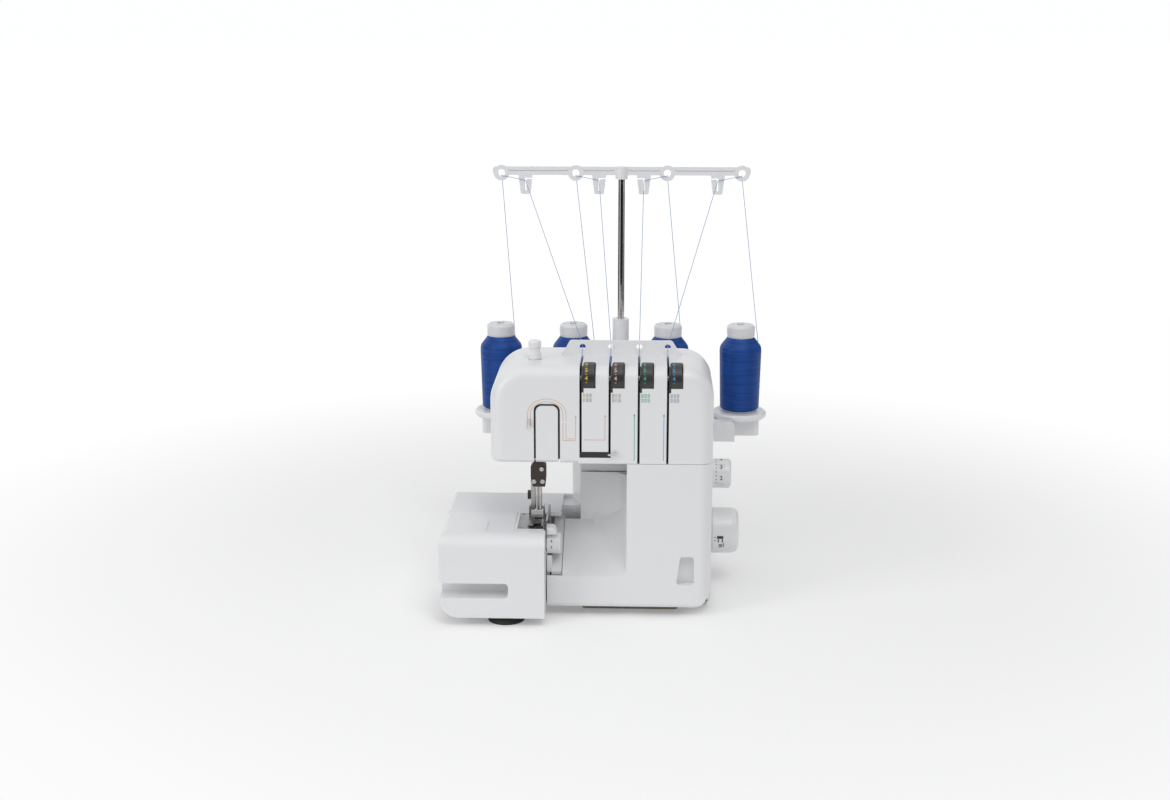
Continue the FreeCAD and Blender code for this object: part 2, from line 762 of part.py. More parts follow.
for x in knuckle_at:
    knuckles.append(rod("X", x, hinge_y, d.hinge_height, 5.0, 12.0))
    knuckles.append(box(x, x + 12.0, front + 1.0, hinge_y, d.hinge_height - 3.0, d.hinge_height + 3.0))
band_end = common(
    box(-d.cover_band_left, -d.cover_left + 1.0, front, front + d.wall, d.base_bottom, d.band_top),
        cover_sill())
pull = prism("XZ", [(62.5, 33.0), (80.0, 33.0), (80.0, 62.0), (66.5, 62.0)], front - 2.0, front + 9.0,
             {0: 3.0, 1: 3.0, 2: 3.0, 3: 3.0})
pull_box = box(59.0, 83.0, front + 1.0, front + 11.0, 30.0, 65.0)
piece("front_cover", cut(
    fuse(cut(cover_solid, cover_room, behind), band_end, pull_box, flange, toe, *knuckles),
    pull,
    rod("X", -60.0, hinge_y, d.hinge_height, d.hinge_radius + d.fit, 200.0)))
piece("cover_hinge_rod", rod("X", -46.0, hinge_y, d.hinge_height, d.hinge_radius, 134.0))

# Base plate with the cover's hinge brackets, and the rubber feet.
plate_plan = [
    (-150.0, -d.table_front + 9.0),
    (-66.0, -d.table_front + 9.0),
    (-66.0, -86.0),
    (d.body_right - d.wall, -86.0),
    (d.body_right - d.wall, d.body_back - d.wall),
    (-d.column_left - d.column_flare, d.body_back - d.wall),
    (-d.column_left - d.column_flare, d.arm_back),
    (-150.0, d.arm_back),
]
plate = prism("XY", plate_plan, d.plate_bottom, d.base_bottom,
              {0: 12.0, 3: 6.0, 4: 18.0, 5: 18.0, 7: 8.0})
brackets = []
for x in (knuckle_at[0] + 13.0 + d.cover_travel, knuckle_at[1] + 13.0 + d.cover_travel):
    brackets.append(cut(
        fuse(box(x, x + 5.0, hinge_y, -76.0, d.hinge_height - 5.0, d.hinge_height + 5.0),
             box(x, x + 5.0, -84.0, -76.0, d.base_bottom - 1.0, d.hinge_height + 5.0),
             rod("X", x, hinge_y, d.hinge_height, 5.0, 5.0)),
        rod("X", x - 1.0, hinge_y, d.hinge_height, d.hinge_radius + d.fit, 7.0)))
piece("base_plate", fuse(plate, *brackets))


def foot(x, y, radius):
    profile = [(0.0, 0.0), (radius, 0.0), (radius, 1.5), (radius - 2.0, d.plate_bottom), (0.0,
        d.plate_bottom)]
    return turned(profile, "Z", x, y, 0.0)


strip = prism("XY", [(-30.0, -85.0), (65.0, -85.0), (65.0, -73.0), (-30.0, -73.0)], 0.0, d.plate_bottom,
              {0: 4.0, 1: 4.0, 2: 4.0, 3: 4.0})
piece("rubber_feet", group(
    foot(-103.0, -116.0, 18.0), strip, foot(-20.0, 34.0, 11.0), foot(76.0, 30.0, 11.0)))

lever_y = -30.0
lever_z = 168.0

# Frame: rail, bearing posts, column, arm and the block that guides the two bars.
bar_holes = [
    rod("Z", -d.needle_x, -d.needle_y, 100.0, d.needle_bar_radius + d.fit, 140.0),
    rod("Z", -d.presser_x, -d.presser_y, 100.0, d.presser_bar_radius + d.fit, 140.0),
    rod("X", -60.0, -d.shaft_y, d.shaft_z, d.bush_radius, 160.0),
    rod("X", 40.0, d.motor_y, d.motor_z, 9.0, 30.0),
    rod("X", -95.0, lever_y, lever_z, d.pin_radius, 38.0),
]
for x, z in pins_at:
    bar_holes.append(rod("Y", x, -40.0, z, d.pin_radius, 40.0))
post_left = d.panel_left + d.wall + d.cover_travel + 2.5
post_right = post_left + 29.0
frame_solid = fuse(
    box(-84.0, -36.0, -18.0, 3.0, d.base_bottom, 18.0),
    box(-36.0, 82.0, -18.0, 40.0, d.base_bottom, 18.0),
    box(post_left, post_right, -46.0, -17.0, d.base_bottom, 18.0),
    box(-82.0, -68.0, -16.0, -2.0, 17.0, 75.7),
    box(-50.0, -38.0, -18.0, 2.0, 17.0, 70.0),
    box(72.0, 80.0, -18.0, 2.0, 17.0, 70.0),
    box(-36.0, -18.0, -18.0, -12.0, 17.0, 48.0),
    box(post_left, post_right, -46.0, -30.0, 17.0, 224.0),
    box(-96.0, post_right, -46.0, -30.0, 196.0, 224.0),
    box(-90.0, -58.0, front + 9.0, -45.0, d.block_low, d.block_high),
    box(-93.0, -89.0, -36.0, -24.0, 160.0, 200.0),
    box(-63.0, -59.0, -36.0, -24.0, 160.0, 200.0),
    box(52.0, 55.0, 2.0, 40.0, 17.0, d.motor_z + d.motor_radius))
piece("main_frame", cut(frame_solid, *bar_holes))

# Main shaft, hand wheel, belt drive and motor.
wheel_start = d.body_right + 2.5
piece("main_shaft", fuse(
    rod("X", -58.0, -d.shaft_y, d.shaft_z, d.shaft_radius, d.body_right + 58.0 + 22.0),
    rod("X", -57.0, -d.shaft_y, d.shaft_z, 8.0, 6.0)))
bushes = []
for x in (-50.0, 72.0):
    long = 12.0 if x < 0 else 8.0
    ring = [
        (d.shaft_radius + d.fit, 0.0),
        (d.bush_radius, 0.0),
        (d.bush_radius, long),
        (d.shaft_radius + d.fit, long),
    ]
    bushes.append(turned(ring, "X", x, -d.shaft_y, d.shaft_z))
piece("shaft_bushes", group(*bushes))
wheel = [
    (d.shaft_radius, 0.0),
    (d.wheel_radius - 1.5, 0.0),
    (d.wheel_radius, 1.5),
    (d.wheel_radius - 0.3, d.wheel_wide - 7.0),
    (d.wheel_radius - 1.6, d.wheel_wide - 2.6),
    (d.wheel_radius - 5.2, d.wheel_wide),
    (0.0, d.wheel_wide),
    (0.0, 19.5),
    (d.shaft_radius, 19.5),
]
piece("handwheel", turned(wheel, "X", wheel_start, -d.shaft_y, d.shaft_z))
pulley_x = 58.0
drive = [
    (d.shaft_radius, 0.0),
    (d.pulley_radius + 3.0, 0.0),
    (d.pulley_radius + 3.0, 1.2),
    (d.pulley_radius, 1.2),
    (d.pulley_radius, 8.8),
    (d.pulley_radius + 3.0, 8.8),
    (d.pulley_radius + 3.0, 10.0),
    (d.shaft_radius, 10.0),
]
piece("drive_pulley", turned(drive, "X", pulley_x, -d.shaft_y, d.shaft_z))
pinion = [
    (0.0, -44.0),
    (3.0, -44.0),
    (3.0, 0.0),
    (d.pinion_radius, 0.0),
    (d.pinion_radius, 10.0),
    (0.0, 10.0),
]
piece("motor_pulley", turned(pinion, "X", pulley_x, d.motor_y, d.motor_z))
motor_case = [
    (3.0 + d.fit, 0.0),
    (d.motor_radius - 6.0, 0.0),
    (d.motor_radius - 6.0, 5.0),
    (d.motor_radius, 8.0),
    (d.motor_radius, 56.0),
    (d.motor_radius - 5.0, 60.0),
    (3.0 + d.fit, 60.0),
]
piece("motor", turned(motor_case, "X", -8.0, d.motor_y, d.motor_z))


def belt_face(grow):
    y1, z1 = -value_of(d.shaft_y), value_of(d.shaft_z)
    y2, z2 = value_of(d.motor_y), value_of(d.motor_z)
    r1 = value_of(d.pulley_radius) + 0.2 + grow
    r2 = value_of(d.pinion_radius) + 0.2 + grow
    run = math.hypot(y2 - y1, z2 - z1)
    line = math.atan2(z2 - z1, y2 - y1)
    open_angle = math.acos((r1 - r2) / run)

    def spot(y, z, r, angle):
        return Vector(pulley_x + 1.6, y + r * math.cos(angle), z + r * math.sin(angle))

    a1 = spot(y1, z1, r1, line + open_angle)
    a2 = spot(y2, z2, r2, line + open_angle)
    b1 = spot(y1, z1, r1, line - open_angle)
    b2 = spot(y2, z2, r2, line - open_angle)
    edges = [
        Part.LineSegment(a1, a2).toShape(),
        Part.Arc(a2, spot(y2, z2, r2, line), b2).toShape(),
        Part.LineSegment(b2, b1).toShape(),
        Part.Arc(b1, spot(y1, z1, r1, line + math.pi), a1).toShape(),
    ]
    return Part.Face(Part.Wire(edges))


belt = doc.addObject("Part::Feature", "belt_loop")
belt.Shape = belt_face(value_of(d.belt_thick)).cut(belt_face(0.0)).extrude(Vector(6.8, 0, 0))
piece("drive_belt", belt)

# Setting dials on the right side and by the needle plate.
length_dial = [
    (0.0, -10.0),
    (4.0, -10.0),
    (4.0, 1.0),
    (d.length_radius - 1.2, 1.0),
    (d.length_radius, 2.2),
    (d.length_radius, d.length_wide - 2.0),
    (d.length_radius - 2.0, d.length_wide),
    (0.0, d.length_wide),
]
piece("stitch_length_dial", turned(length_dial, "X", d.body_right, -d.shaft_y, d.length_z))
width_dial = [
    (0.0, -7.0),
    (3.0, -7.0),
    (3.0, 2.0),
    (d.width_radius - 1.0, 2.0),
    (d.width_radius, 3.0),
    (d.width_radius, 13.0),
    (d.width_radius - 1.5, 15.0),
    (0.0, 15.0),
]
piece("stitch_width_dial", turned(width_dial, "X", plate_right, -d.width_y, d.width_z))

# Needle plate, feed dog, knives and loopers.
feed_x = (-81.0, -70.0)
plate_block = box(-d.plate_left, plate_right, -d.plate_front, -d.plate_back,
    d.bed_top - d.plate_thick, d.bed_top)
plate_cuts = [box(-d.needle_x - 5.0, -d.needle_x + 4.0, -d.needle_y - 2.2, -d.needle_y + 2.2,
                  d.bed_top - 6.0, d.bed_top + 2.0)]
for x in feed_x:
    plate_cuts.append(box(x - 0.5, x + 3.5, -80.5, -60.5, d.bed_top - 6.0, d.bed_top + 2.0))
piece("needle_plate", cut(plate_block, *plate_cuts))
feed_top = d.bed_top + d.feed_rise
feed_parts = [box(-80.0, -70.0, -78.0, -4.0, 76.0, 80.0)]
for x in feed_x:
    teeth = [(-78.0, 79.0)]
    for step_index in range(7):
        y = -78.0 + step_index * 2.2
        teeth += [(y + 0.0 if step_index else -78.0 + 0.01, feed_top - 0.9), (y + 1.6, feed_top)]
    teeth += [(-62.6, feed_top - 0.9), (-62.6, 79.0)]
    feed_parts.append(prism("YZ", list(reversed(teeth)), x, x + 3.0))
piece("feed_dog", fuse(*feed_parts))
piece("lower_knife", prism("YZ", [(-81.0, 80.0), (-57.5, 80.0), (-57.5, d.bed_top - 0.4), (-81.0,
    d.bed_top - 0.4)],
                           plate_right + d.seat_gap, plate_right + d.seat_gap + 2.0))
knife = prism("YZ", [(-30.0, 30.0), (-30.0, 38.0), (-66.0, 39.0), (-66.0, 96.0), (-68.5, 103.0),
    (-74.0, 103.0),
                     (-74.0, 30.0)], plate_right + 2.5, plate_right + 4.9, {0: 3.5, 1: 3.5})
piece("upper_knife", cut(knife, rod("X", plate_right - 1.0, -34.0, 34.0, d.pin_radius + d.fit, 10.0)))


def looper(pin, outline, y0, y1):
    x, z = pin
    return cut(
        fuse(prism("XZ", [(x + u, z + v) for u, v in outline], y0, y1),
             rod("Y", x, y0 - 2.0, z, 5.0, y1 - y0 + 4.0)),
        rod("Y", x, y0 - 6.0, z, d.pin_radius + d.fit, y1 - y0 + 12.0))


piece("lower_looper", looper(pins_at[0], [
    (0.0, -4.0), (0.0, 4.0), (-20.0, 5.0), (-22.0, 30.0), (-27.0, 38.0), (-36.0, 41.0), (-47.0, 40.0),
    (-36.0, 36.5), (-28.0, 29.0), (-26.0, -1.0), (-20.0, -4.0)], -80.2, -78.2))
piece("upper_looper", looper(pins_at[1], [
    (0.0, -4.0), (0.0, 4.0), (-35.0, 6.0), (-40.0, 20.0), (-44.0, 42.0), (-46.0, 42.5), (-46.0, 18.0),
    (-41.0, 0.0), (-34.0, -3.0)], -83.0, -81.0))
pivots = [rod("Y", x, -88.0, z, d.pin_radius, 74.0) for x, z in pins_at]
pivots.append(rod("X", plate_right - 2.5, -34.0, 34.0, d.pin_radius, 8.0))
pivots.append(rod("X", -93.0, lever_y, lever_z, d.pin_radius, 34.0))
piece("pivot_pins", group(*pivots))

# Needle bar with its clamp, screws and two needles.
piece("needle_bar", rod("Z", -d.needle_x, -d.needle_y, d.clamp_top - 2.0, d.needle_bar_radius, 92.0))
clamp_left = -d.needle_x - d.clamp_wide / 2
clamp_right = -d.needle_x + d.clamp_wide / 2
clamp_plate = prism("XZ", [
    (clamp_left + 2.0, d.clamp_bottom), (clamp_right - 1.0, d.clamp_bottom),
    (clamp_right, d.clamp_bottom + 8.0), (clamp_right, d.clamp_top - 4.0), (clamp_right - 3.0, d.clamp_top),
    (clamp_left + 3.0, d.clamp_top), (clamp_left, d.clamp_top - 5.0), (clamp_left, d.clamp_bottom + 9.0)],
    -d.needle_y - 5.0, -d.needle_y + 5.0)
needle_at = (-d.needle_x - 2.0, -d.needle_x + 1.4)
screw_at = ((-4.4, 5.5), (4.0, 5.5), (3.2, 18.0))
clamp_cuts = [rod("Z", -d.needle_x, -d.needle_y, d.clamp_top - 2.0, d.needle_bar_radius, 6.0)]
for x in needle_at:
    clamp_cuts.append(rod("Z", x, -d.needle_y, d.clamp_bottom - 1.0, 1.0, 13.0))
for u, v in screw_at:
    clamp_cuts.append(rod("Y", -d.needle_x + u, -d.needle_y - 6.0, d.clamp_bottom + v, 1.2, 5.0))
piece("needle_clamp", cut(clamp_plate, *clamp_cuts))
screws = []
for u, v in screw_at:
    head = [(0.0, -4.0), (1.2, -4.0), (1.2, 0.0), (2.4, 0.0), (2.4, 1.2), (1.8, 1.8), (0.0, 1.8)]
    screw = turned(head, "Y", 0.0, 0.0, 0.0)
    screw.Placement = Placement(Vector(), Rotation(Vector(1, 0, 0), 90))
    place(screw, -d.needle_x + u, -d.needle_y - 5.0, d.clamp_bottom + v)
    screws.append(cut(screw, box(-d.needle_x + u - 3.0, -d.needle_x + u + 3.0, -d.needle_y - 7.5,
                                 -d.needle_y - 6.1, d.clamp_bottom + v - 0.3, d.clamp_bottom + v + 0.3)))
piece("clamp_screws", group(*screws))
needles = []
for x in needle_at:
    shank = d.clamp_bottom + 11.0 - d.needle_tip
    profile = [(0.0, 0.0), (0.5, 4.0), (0.5, 17.0), (1.0, 19.0), (1.0, shank), (0.0, shank)]
    needles.append(turned(profile, "Z", x, -d.needle_y, d.needle_tip))
piece("needles", group(*needles))

# Presser bar, spring, regulator, ankle, foot and lifting lever.
bar_low = 122.0
spring_low = d.block_high + 4.0
spring_high = d.head_top - 12.0
piece("presser_bar", fuse(
    rod("Z", -d.presser_x, -d.presser_y, bar_low, d.presser_bar_radius, 110.0),
    rod("Z", -d.presser_x, -d.presser_y, d.block_high + 1.5, 6.0, 2.2),
    box(-d.presser_x - 5.0, -d.presser_x + 5.0, -d.presser_y - 5.0, -16.0, 180.0, 183.0)))
coil_radius = 5.0
turns = 6
spring_rise = value_of(spring_high) - value_of(spring_low) - 1.4
steps = 12
coil_path = []
for step in range(turns * steps + 1):
    angle = 2 * math.pi * step / steps
    coil_path.append(Vector(coil_radius * math.cos(angle), coil_radius * math.sin(angle),
                            spring_rise * step / (turns * steps)))
wire_ring = [Vector(coil_radius + 0.6 * math.cos(math.pi * i / 3), 0, 0.6 * math.sin(math.pi * i / 3))
             for i in range(7)]
coil = doc.addObject("Part::Feature", "coil")
coil.Shape = Part.Solid(Part.makePolygon(coil_path).makePipeShell([Part.makePolygon(wire_ring)],
    True, True, 1).Shells[0])
place(coil, -d.presser_x, -d.presser_y, spring_low + 0.7)
piece("presser_spring", coil)
knob = [
    (0.0, spring_high - d.head_top + 0.3),
    (5.6, spring_high - d.head_top + 0.3),
    (5.6, 0.3),
    (6.25, 0.3),
    (6.25, 6.0),
    (5.2, 6.6),
    (5.2, 11.5),
    (6.25, 12.1),
    (6.25, 17.0),
    (5.0, 18.4),
    (0.0, 18.4),
]
piece("pressure_knob", turned(knob, "Z", -d.presser_x, -d.presser_y, d.head_top))
ankle_low = 97.5
ankle = cut(
    prism("XZ", [(-d.presser_x - 4.5, ankle_low), (-d.presser_x + 6.0, ankle_low),
                 (-d.presser_x + 6.0, 118.0), (-d.presser_x + 4.8, 128.0), (-d.presser_x - 4.8, 128.0),
                 (-d.presser_x - 4.5, 118.0)], -d.presser_y - 5.0, -d.presser_y + 5.0),
    rod("Z", -d.presser_x, -d.presser_y, bar_low, d.presser_bar_radius, 10.0),
    box(-d.presser_x - 0.6, -d.presser_x + 1.8, -d.presser_y - 6.0, -d.presser_y - 2.0, 90.0, 120.0),
    box(-d.presser_x - 6.0, -d.presser_x + 8.0, -d.presser_y - 2.4, -d.presser_y + 2.4, 90.0,
        ankle_low + 4.2))
piece("presser_ankle", ankle)
piece("release_button", box(-d.presser_x - 8.0, -d.presser_x - 4.5 - d.seat_gap,
    -d.presser_y - 3.0, -d.presser_y + 2.0,
                            108.0, 116.0))
sole = prism("XY", [(-83.0, -60.0), (-83.0, -96.0), (-81.0, -103.0), (-77.0, -103.0), (-75.6, -97.0),
                    (-70.0, -97.0), (-69.0, -104.0), (-67.4, -104.0), (-67.4, -60.0)],
             d.foot_bottom, d.foot_bottom + 2.0)
sole = cut(sole, box(-d.needle_x - 4.0, -d.needle_x + 3.4, -d.needle_y - 2.5, -d.needle_y + 2.5,
    80.0, 110.0))
ears = [box(x, x + 1.6, -d.presser_y - 5.0, -d.presser_y + 4.0, d.foot_bottom + 1.0, d.foot_bottom + 10.0)
        for x in (-83.0, -69.0)]
foot_pin_z = d.foot_bottom + 7.6
piece("presser_foot", fuse(
    sole, *ears, rod("X", -83.0, -d.presser_y, foot_pin_z, 1.5, 15.6)))
piece("presser_lever", cut(
    fuse(rod("X", -86.0, lever_y, lever_z, 6.0, 20.0),
         prism("YZ", [(lever_y, lever_z - 4.0), (16.0, lever_z - 12.0), (24.0, lever_z - 15.0),
                      (26.0, lever_z - 11.0), (18.0, lever_z - 6.0), (lever_y, lever_z + 4.0)],
                          -80.0, -73.0)),
    rod("X", -90.0, lever_y, lever_z, d.pin_radius + d.fit, 30.0)))

# Spool stand, telescopic pole with its guide bar, and four spools.
spools = [d.stand_x - d.outer_pitch, d.stand_x - d.inner_pitch, d.stand_x + d.inner_pitch,
    d.stand_x + d.outer_pitch]
beam_left = d.stand_x - d.outer_pitch - 21.0
beam_right = d.stand_x + d.outer_pitch + 21.0
beam_plan = [
    (beam_left, d.stand_y - 14.0), (beam_right, d.stand_y - 14.0),
    (beam_right, d.stand_y + 14.0), (beam_left, d.stand_y + 14.0)]
beam = prism("XY", beam_plan, d.stand_low, d.stand_high, {0: 6.0, 1: 6.0, 2: 10.0, 3: 10.0})
beam_hollow = box(beam_left + 3.0, beam_right - 3.0, d.stand_y - 11.0, d.stand_y + 11.0,
                  d.stand_low - 2.0, d.stand_high - 3.0)
sleeve = rod("Z", d.stand_x, d.stand_y, d.stand_low, d.sleeve_radius, d.sleeve_top - d.stand_low)
stays = []
for x in (-14.0, 62.0):
    stays.append(box(x, x + 22.0, d.body_back, d.stand_y - 13.0, d.stand_low - 12.0, d.stand_high - 6.0))
lug_front = d.stand_y - d.holder_radius - 1.0
for x in (d.stand_x - 122.0, d.stand_x + 100.0):
    stays.append(box(x, x + 22.0, lug_front - 8.0, d.stand_y - 13.0, d.stand_low, d.stand_high - 0.5))
    stays.append(prism("XZ", [(x, d.stand_low), (x + 22.0, d.stand_low), (x + 22.0, d.stand_high),
                              (x + 18.0, d.stand_high + 4.0), (x, d.stand_high + 4.0)],
                       lug_front - 9.0, lug_front))
piece("spool_stand", cut(
    fuse(cut(beam, beam_hollow), sleeve, *stays),
    rod("Z", d.stand_x, d.stand_y, d.stand_low + 3.0, d.pole_radius + d.fit, 200.0)))
piece("thread_pole", rod("Z", d.stand_x, d.stand_y, d.pole_low, d.pole_radius, pole_high - d.pole_low))

y0 = d.stand_y - d.bar_thick / 2
y1 = d.stand_y + d.bar_thick / 2
bar_parts = [prism("XZ", [(d.stand_x - d.bar_half, rail_low), (d.stand_x + d.bar_half, rail_low),
                          (d.stand_x + d.bar_half, rail_high), (d.stand_x - d.bar_half, rail_high)],
                   y0, y1, {0: 3.0, 1: 3.0, 2: 3.0, 3: 3.0})]
bar_cuts = [rod("Z", d.stand_x, d.stand_y, hook_low, d.pole_radius, pole_high - hook_low)]
bar_parts.append(rod("Z", d.stand_x, d.stand_y, rail_low - 4.0, 6.4, rail_high - rail_low + 4.0))
hook_top = rail_low + 1.0
for side in (-1.0, 1.0):
    for eye in (d.eye_outer, d.eye_inner):
        x = d.stand_x + eye * side
        bar_parts.append(rod("Y", x, y0, d.eye_z, d.eye_radius + 4.2, d.bar_thick))
        bar_cuts.append(rod("Y", x, y0 - 1.0, d.eye_z, d.eye_radius, d.bar_thick + 2.0))
    for hook in (d.hook_outer, d.hook_inner):
        x = d.stand_x + hook * side
        bar_parts.append(prism("XZ", [(x - 5.0, hook_low), (x + 5.0, hook_low), (x + 7.5, hook_top),
                                      (x - 7.5, hook_top)], y0, y1, {0: 2.0, 1: 2.0}))
        bar_cuts.append(box(x - 0.9, x + 0.9, y0 - 1.0, y1 + 1.0, hook_low + 3.0, rail_low - 3.0))
        inner = x if side < 0 else x - 9.0
        bar_cuts.append(box(inner, inner + 9.0, y0 - 1.0, y1 + 1.0, rail_low - 4.8, rail_low - 3.0))
piece("thread_guide_bar", cut(fuse(*bar_parts), *bar_cuts))

holders, cores, windings = [], [], []
for x in spools:
    holder = [
        (0.0, 0.0), (d.holder_radius - 2.0, 0.0), (d.holder_radius, 2.0), (d.holder_radius, 5.0),
        (d.holder_radius - 2.0, d.holder_top - d.stand_high), (3.2, d.holder_top - d.stand_high),
            (2.8, 74.0),
        (1.5, 76.0), (0.0, 76.0)]
    holders.append(turned(holder, "Z", x, d.stand_y, d.stand_high))
    floor = d.holder_top + 0.3
    core = [
        (4.5, 0.0), (18.0, 0.0), (18.0, 1.5), (10.0, 1.5), (10.0, d.winding_top - floor),
        (d.cap_radius - 0.6, d.winding_top - floor), (d.cap_radius, d.winding_top - floor + 2.0),
        (d.cap_radius, d.cap_top - floor - 2.5), (d.cap_radius - 2.0, d.cap_top - floor - 0.5),
        (d.cap_radius - 5.0, d.cap_top - floor), (4.5, d.cap_top - floor)]
    cores.append(turned(core, "Z", x, d.stand_y, floor))
    rise = d.winding_top - floor
    yarn = [
        (10.0, 1.5), (d.winding_radius - 4.0, 1.5), (d.winding_radius - 1.6, 3.5),
            (d.winding_radius, rise - 14.0),
        (d.winding_radius - 1.2, rise - 9.5), (d.cap_radius - 0.8, rise), (10.0, rise)]
    windings.append(turned(yarn, "Z", x, d.stand_y, floor))
piece("spool_holders", group(*holders))
piece("spool_cores", group(*cores))
piece("thread_windings", group(*windings))

# Threads, pulled tight from each spool through eye, hook and eyelet into its tension slot.


def thread(spots, bend):
    edges = []
    start = spots[0]
    for before, corner, after in zip(spots, spots[1:], spots[2:]):
        back = (before - corner).normalize()
        ahead = (after - corner).normalize()
        half = back.getAngle(ahead) / 2
        reach = bend / math.tan(half)
        enter = corner + back * reach
        leave = corner + ahead * reach
        middle = (back + ahead).normalize()
        crown = corner + middle * (bend / math.sin(half) - bend)
        edges.append(Part.LineSegment(start, enter).toShape())
        edges.append(Part.Arc(enter, crown, leave).toShape())
        start = leave
    edges.append(Part.LineSegment(start, spots[-1]).toShape())
    path = Part.Wire(edges)
    along = edges[0].tangentAt(edges[0].FirstParameter)
    ring = Part.Wire(Part.makeCircle(value_of(d.thread_radius), spots[0], along))
    return Part.Solid(path.makePipeShell([ring], True, False).Shells[0])


def thread_route(i):
    side = -1 if i < 2 else 1
    eye = (d.eye_outer, d.eye_inner, d.eye_inner, d.eye_outer)[i]
    hook = (d.hook_outer, d.hook_inner, d.hook_inner, d.hook_outer)[i]
    y = value_of(d.stand_y)
    thick = value_of(d.bar_thick) / 2
    eye_x = value_of(d.stand_x) + side * value_of(eye)
    hook_x = value_of(d.stand_x) + side * value_of(hook)
    slot = value_of(slots[i])
    guide = -value_of(d.guide_y)
    eyelet = value_of(d.eyelet_z)
    face = -value_of(d.front_reach)
    turn = math.radians((52.0, 10.0, 48.0, 31.0)[i])
    away = value_of(d.winding_radius) + 0.5
    return [
        Vector(value_of(spools[i]) + away * math.cos(turn), y + away * math.sin(turn),
               value_of(d.winding_top) - 12.0),
        Vector(eye_x, y + thick + 1.2, value_of(d.eye_z) - 2.4),
        Vector(eye_x, y - thick - 1.2, value_of(d.eye_z) - 2.4),
        Vector(hook_x, y - thick - 1.2, value_of(rail_low) - 5.4),
        Vector(slot, guide + 4.0, eyelet + 0.6),
        Vector(slot, guide - 3.6, eyelet - 0.4),
        Vector(slot, face + 22.0, value_of(d.head_top) - 4.0),
    ]


for i in range(4):
    strand = doc.addObject("Part::Feature", fresh("strand"))
    strand.Shape = thread(thread_route(i), 1.0)
    piece(f"thread_{i + 1}", strand)

doc.recompute()
for obj in doc.Objects:
    if "Invalid" in obj.State or "Error" in obj.State:
        raise RuntimeError(f"{obj.Name} {obj.Label} did not rebuild: {obj.State}")
for obj in PIECES:
    if obj.Shape.isNull() or not obj.Shape.isValid() or not obj.Shape.Solids:
        raise RuntimeError(f"{obj.Label} has no sound solid")
    obj.Shape.exportStep(f"parts/{obj.Label}.step")
    print(obj.Label, len(obj.Shape.Solids), round(obj.Shape.Volume))
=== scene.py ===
import json
import math
import bmesh
import bpy
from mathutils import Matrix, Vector


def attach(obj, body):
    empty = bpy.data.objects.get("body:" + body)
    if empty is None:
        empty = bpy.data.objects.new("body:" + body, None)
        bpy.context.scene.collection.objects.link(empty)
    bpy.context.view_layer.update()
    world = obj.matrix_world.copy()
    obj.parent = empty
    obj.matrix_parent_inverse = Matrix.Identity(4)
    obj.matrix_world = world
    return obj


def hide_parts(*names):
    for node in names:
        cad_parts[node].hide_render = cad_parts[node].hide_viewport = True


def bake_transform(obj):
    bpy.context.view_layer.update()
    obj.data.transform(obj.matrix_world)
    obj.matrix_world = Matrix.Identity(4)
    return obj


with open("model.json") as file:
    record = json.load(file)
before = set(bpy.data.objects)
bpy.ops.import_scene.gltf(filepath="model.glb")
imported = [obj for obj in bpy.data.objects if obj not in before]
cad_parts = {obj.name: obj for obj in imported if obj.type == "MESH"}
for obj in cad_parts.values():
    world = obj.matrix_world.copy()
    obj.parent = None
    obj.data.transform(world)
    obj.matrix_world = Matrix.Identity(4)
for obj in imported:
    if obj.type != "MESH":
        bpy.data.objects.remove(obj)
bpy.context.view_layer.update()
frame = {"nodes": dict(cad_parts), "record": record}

scene = bpy.context.scene
scene.view_settings.view_transform = "Standard"
mm = 0.001

# camera first: it has to show the whole thread path
cameraView = {"place": (0.028567, -1.678498, 0.611267), "aim": (-0.029, -0.030, 0.200), "lens": 52.308,
              "sensor": 36.0}


def turnTo(thing, place, aim):
    thing.location = place
    thing.rotation_euler = (Vector(aim) - Vector(place)).to_track_quat("-Z", "Y").to_euler()
    scene.collection.objects.link(thing)


camera = bpy.data.objects.new("camera", bpy.data.cameras.new("camera"))
camera.data.lens = cameraView["lens"]
camera.data.sensor_width = cameraView["sensor"]
camera.data.sensor_fit = "HORIZONTAL"
turnTo(camera, cameraView["place"], cameraView["aim"])
scene.camera = camera
print("camera placed")


def meshOf(name, shape, smooth=False, unit=mm):
    points, faces = shape
    mesh = bpy.data.meshes.new(name)
    mesh.from_pydata([[c * unit for c in p] for p in points], [], faces)
    mesh.update()
    for face in mesh.polygons:
        face.use_smooth = smooth
    return mesh


def joinParts(parts):
    points, faces = [], []
    for some, more in parts:
        base = len(points)
        points += some
        faces += [tuple(v + base for v in face) for face in more]
    return points, faces


def faceOutward(mesh):
    shape = bmesh.new()
    shape.from_mesh(mesh)
    bmesh.ops.recalc_face_normals(shape, faces=shape.faces)
    if shape.calc_volume(signed=True) < 0:
        bmesh.ops.reverse_faces(shape, faces=shape.faces)
    shape.to_mesh(mesh)
    shape.free()


def addPiece(mesh, material, body, place=(0.0, 0.0, 0.0)):
    faceOutward(mesh)
    piece = bpy.data.objects.new(mesh.name, mesh)
    scene.collection.objects.link(piece)
    piece.location = place
    mesh.materials.append(material)
    if body:
        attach(piece, body)
    return piece


# a piece joined from several shapes, in millimetres
def addShapes(name, parts, material, body):
    addPiece(meshOf(name, joinParts(parts)), material, body)


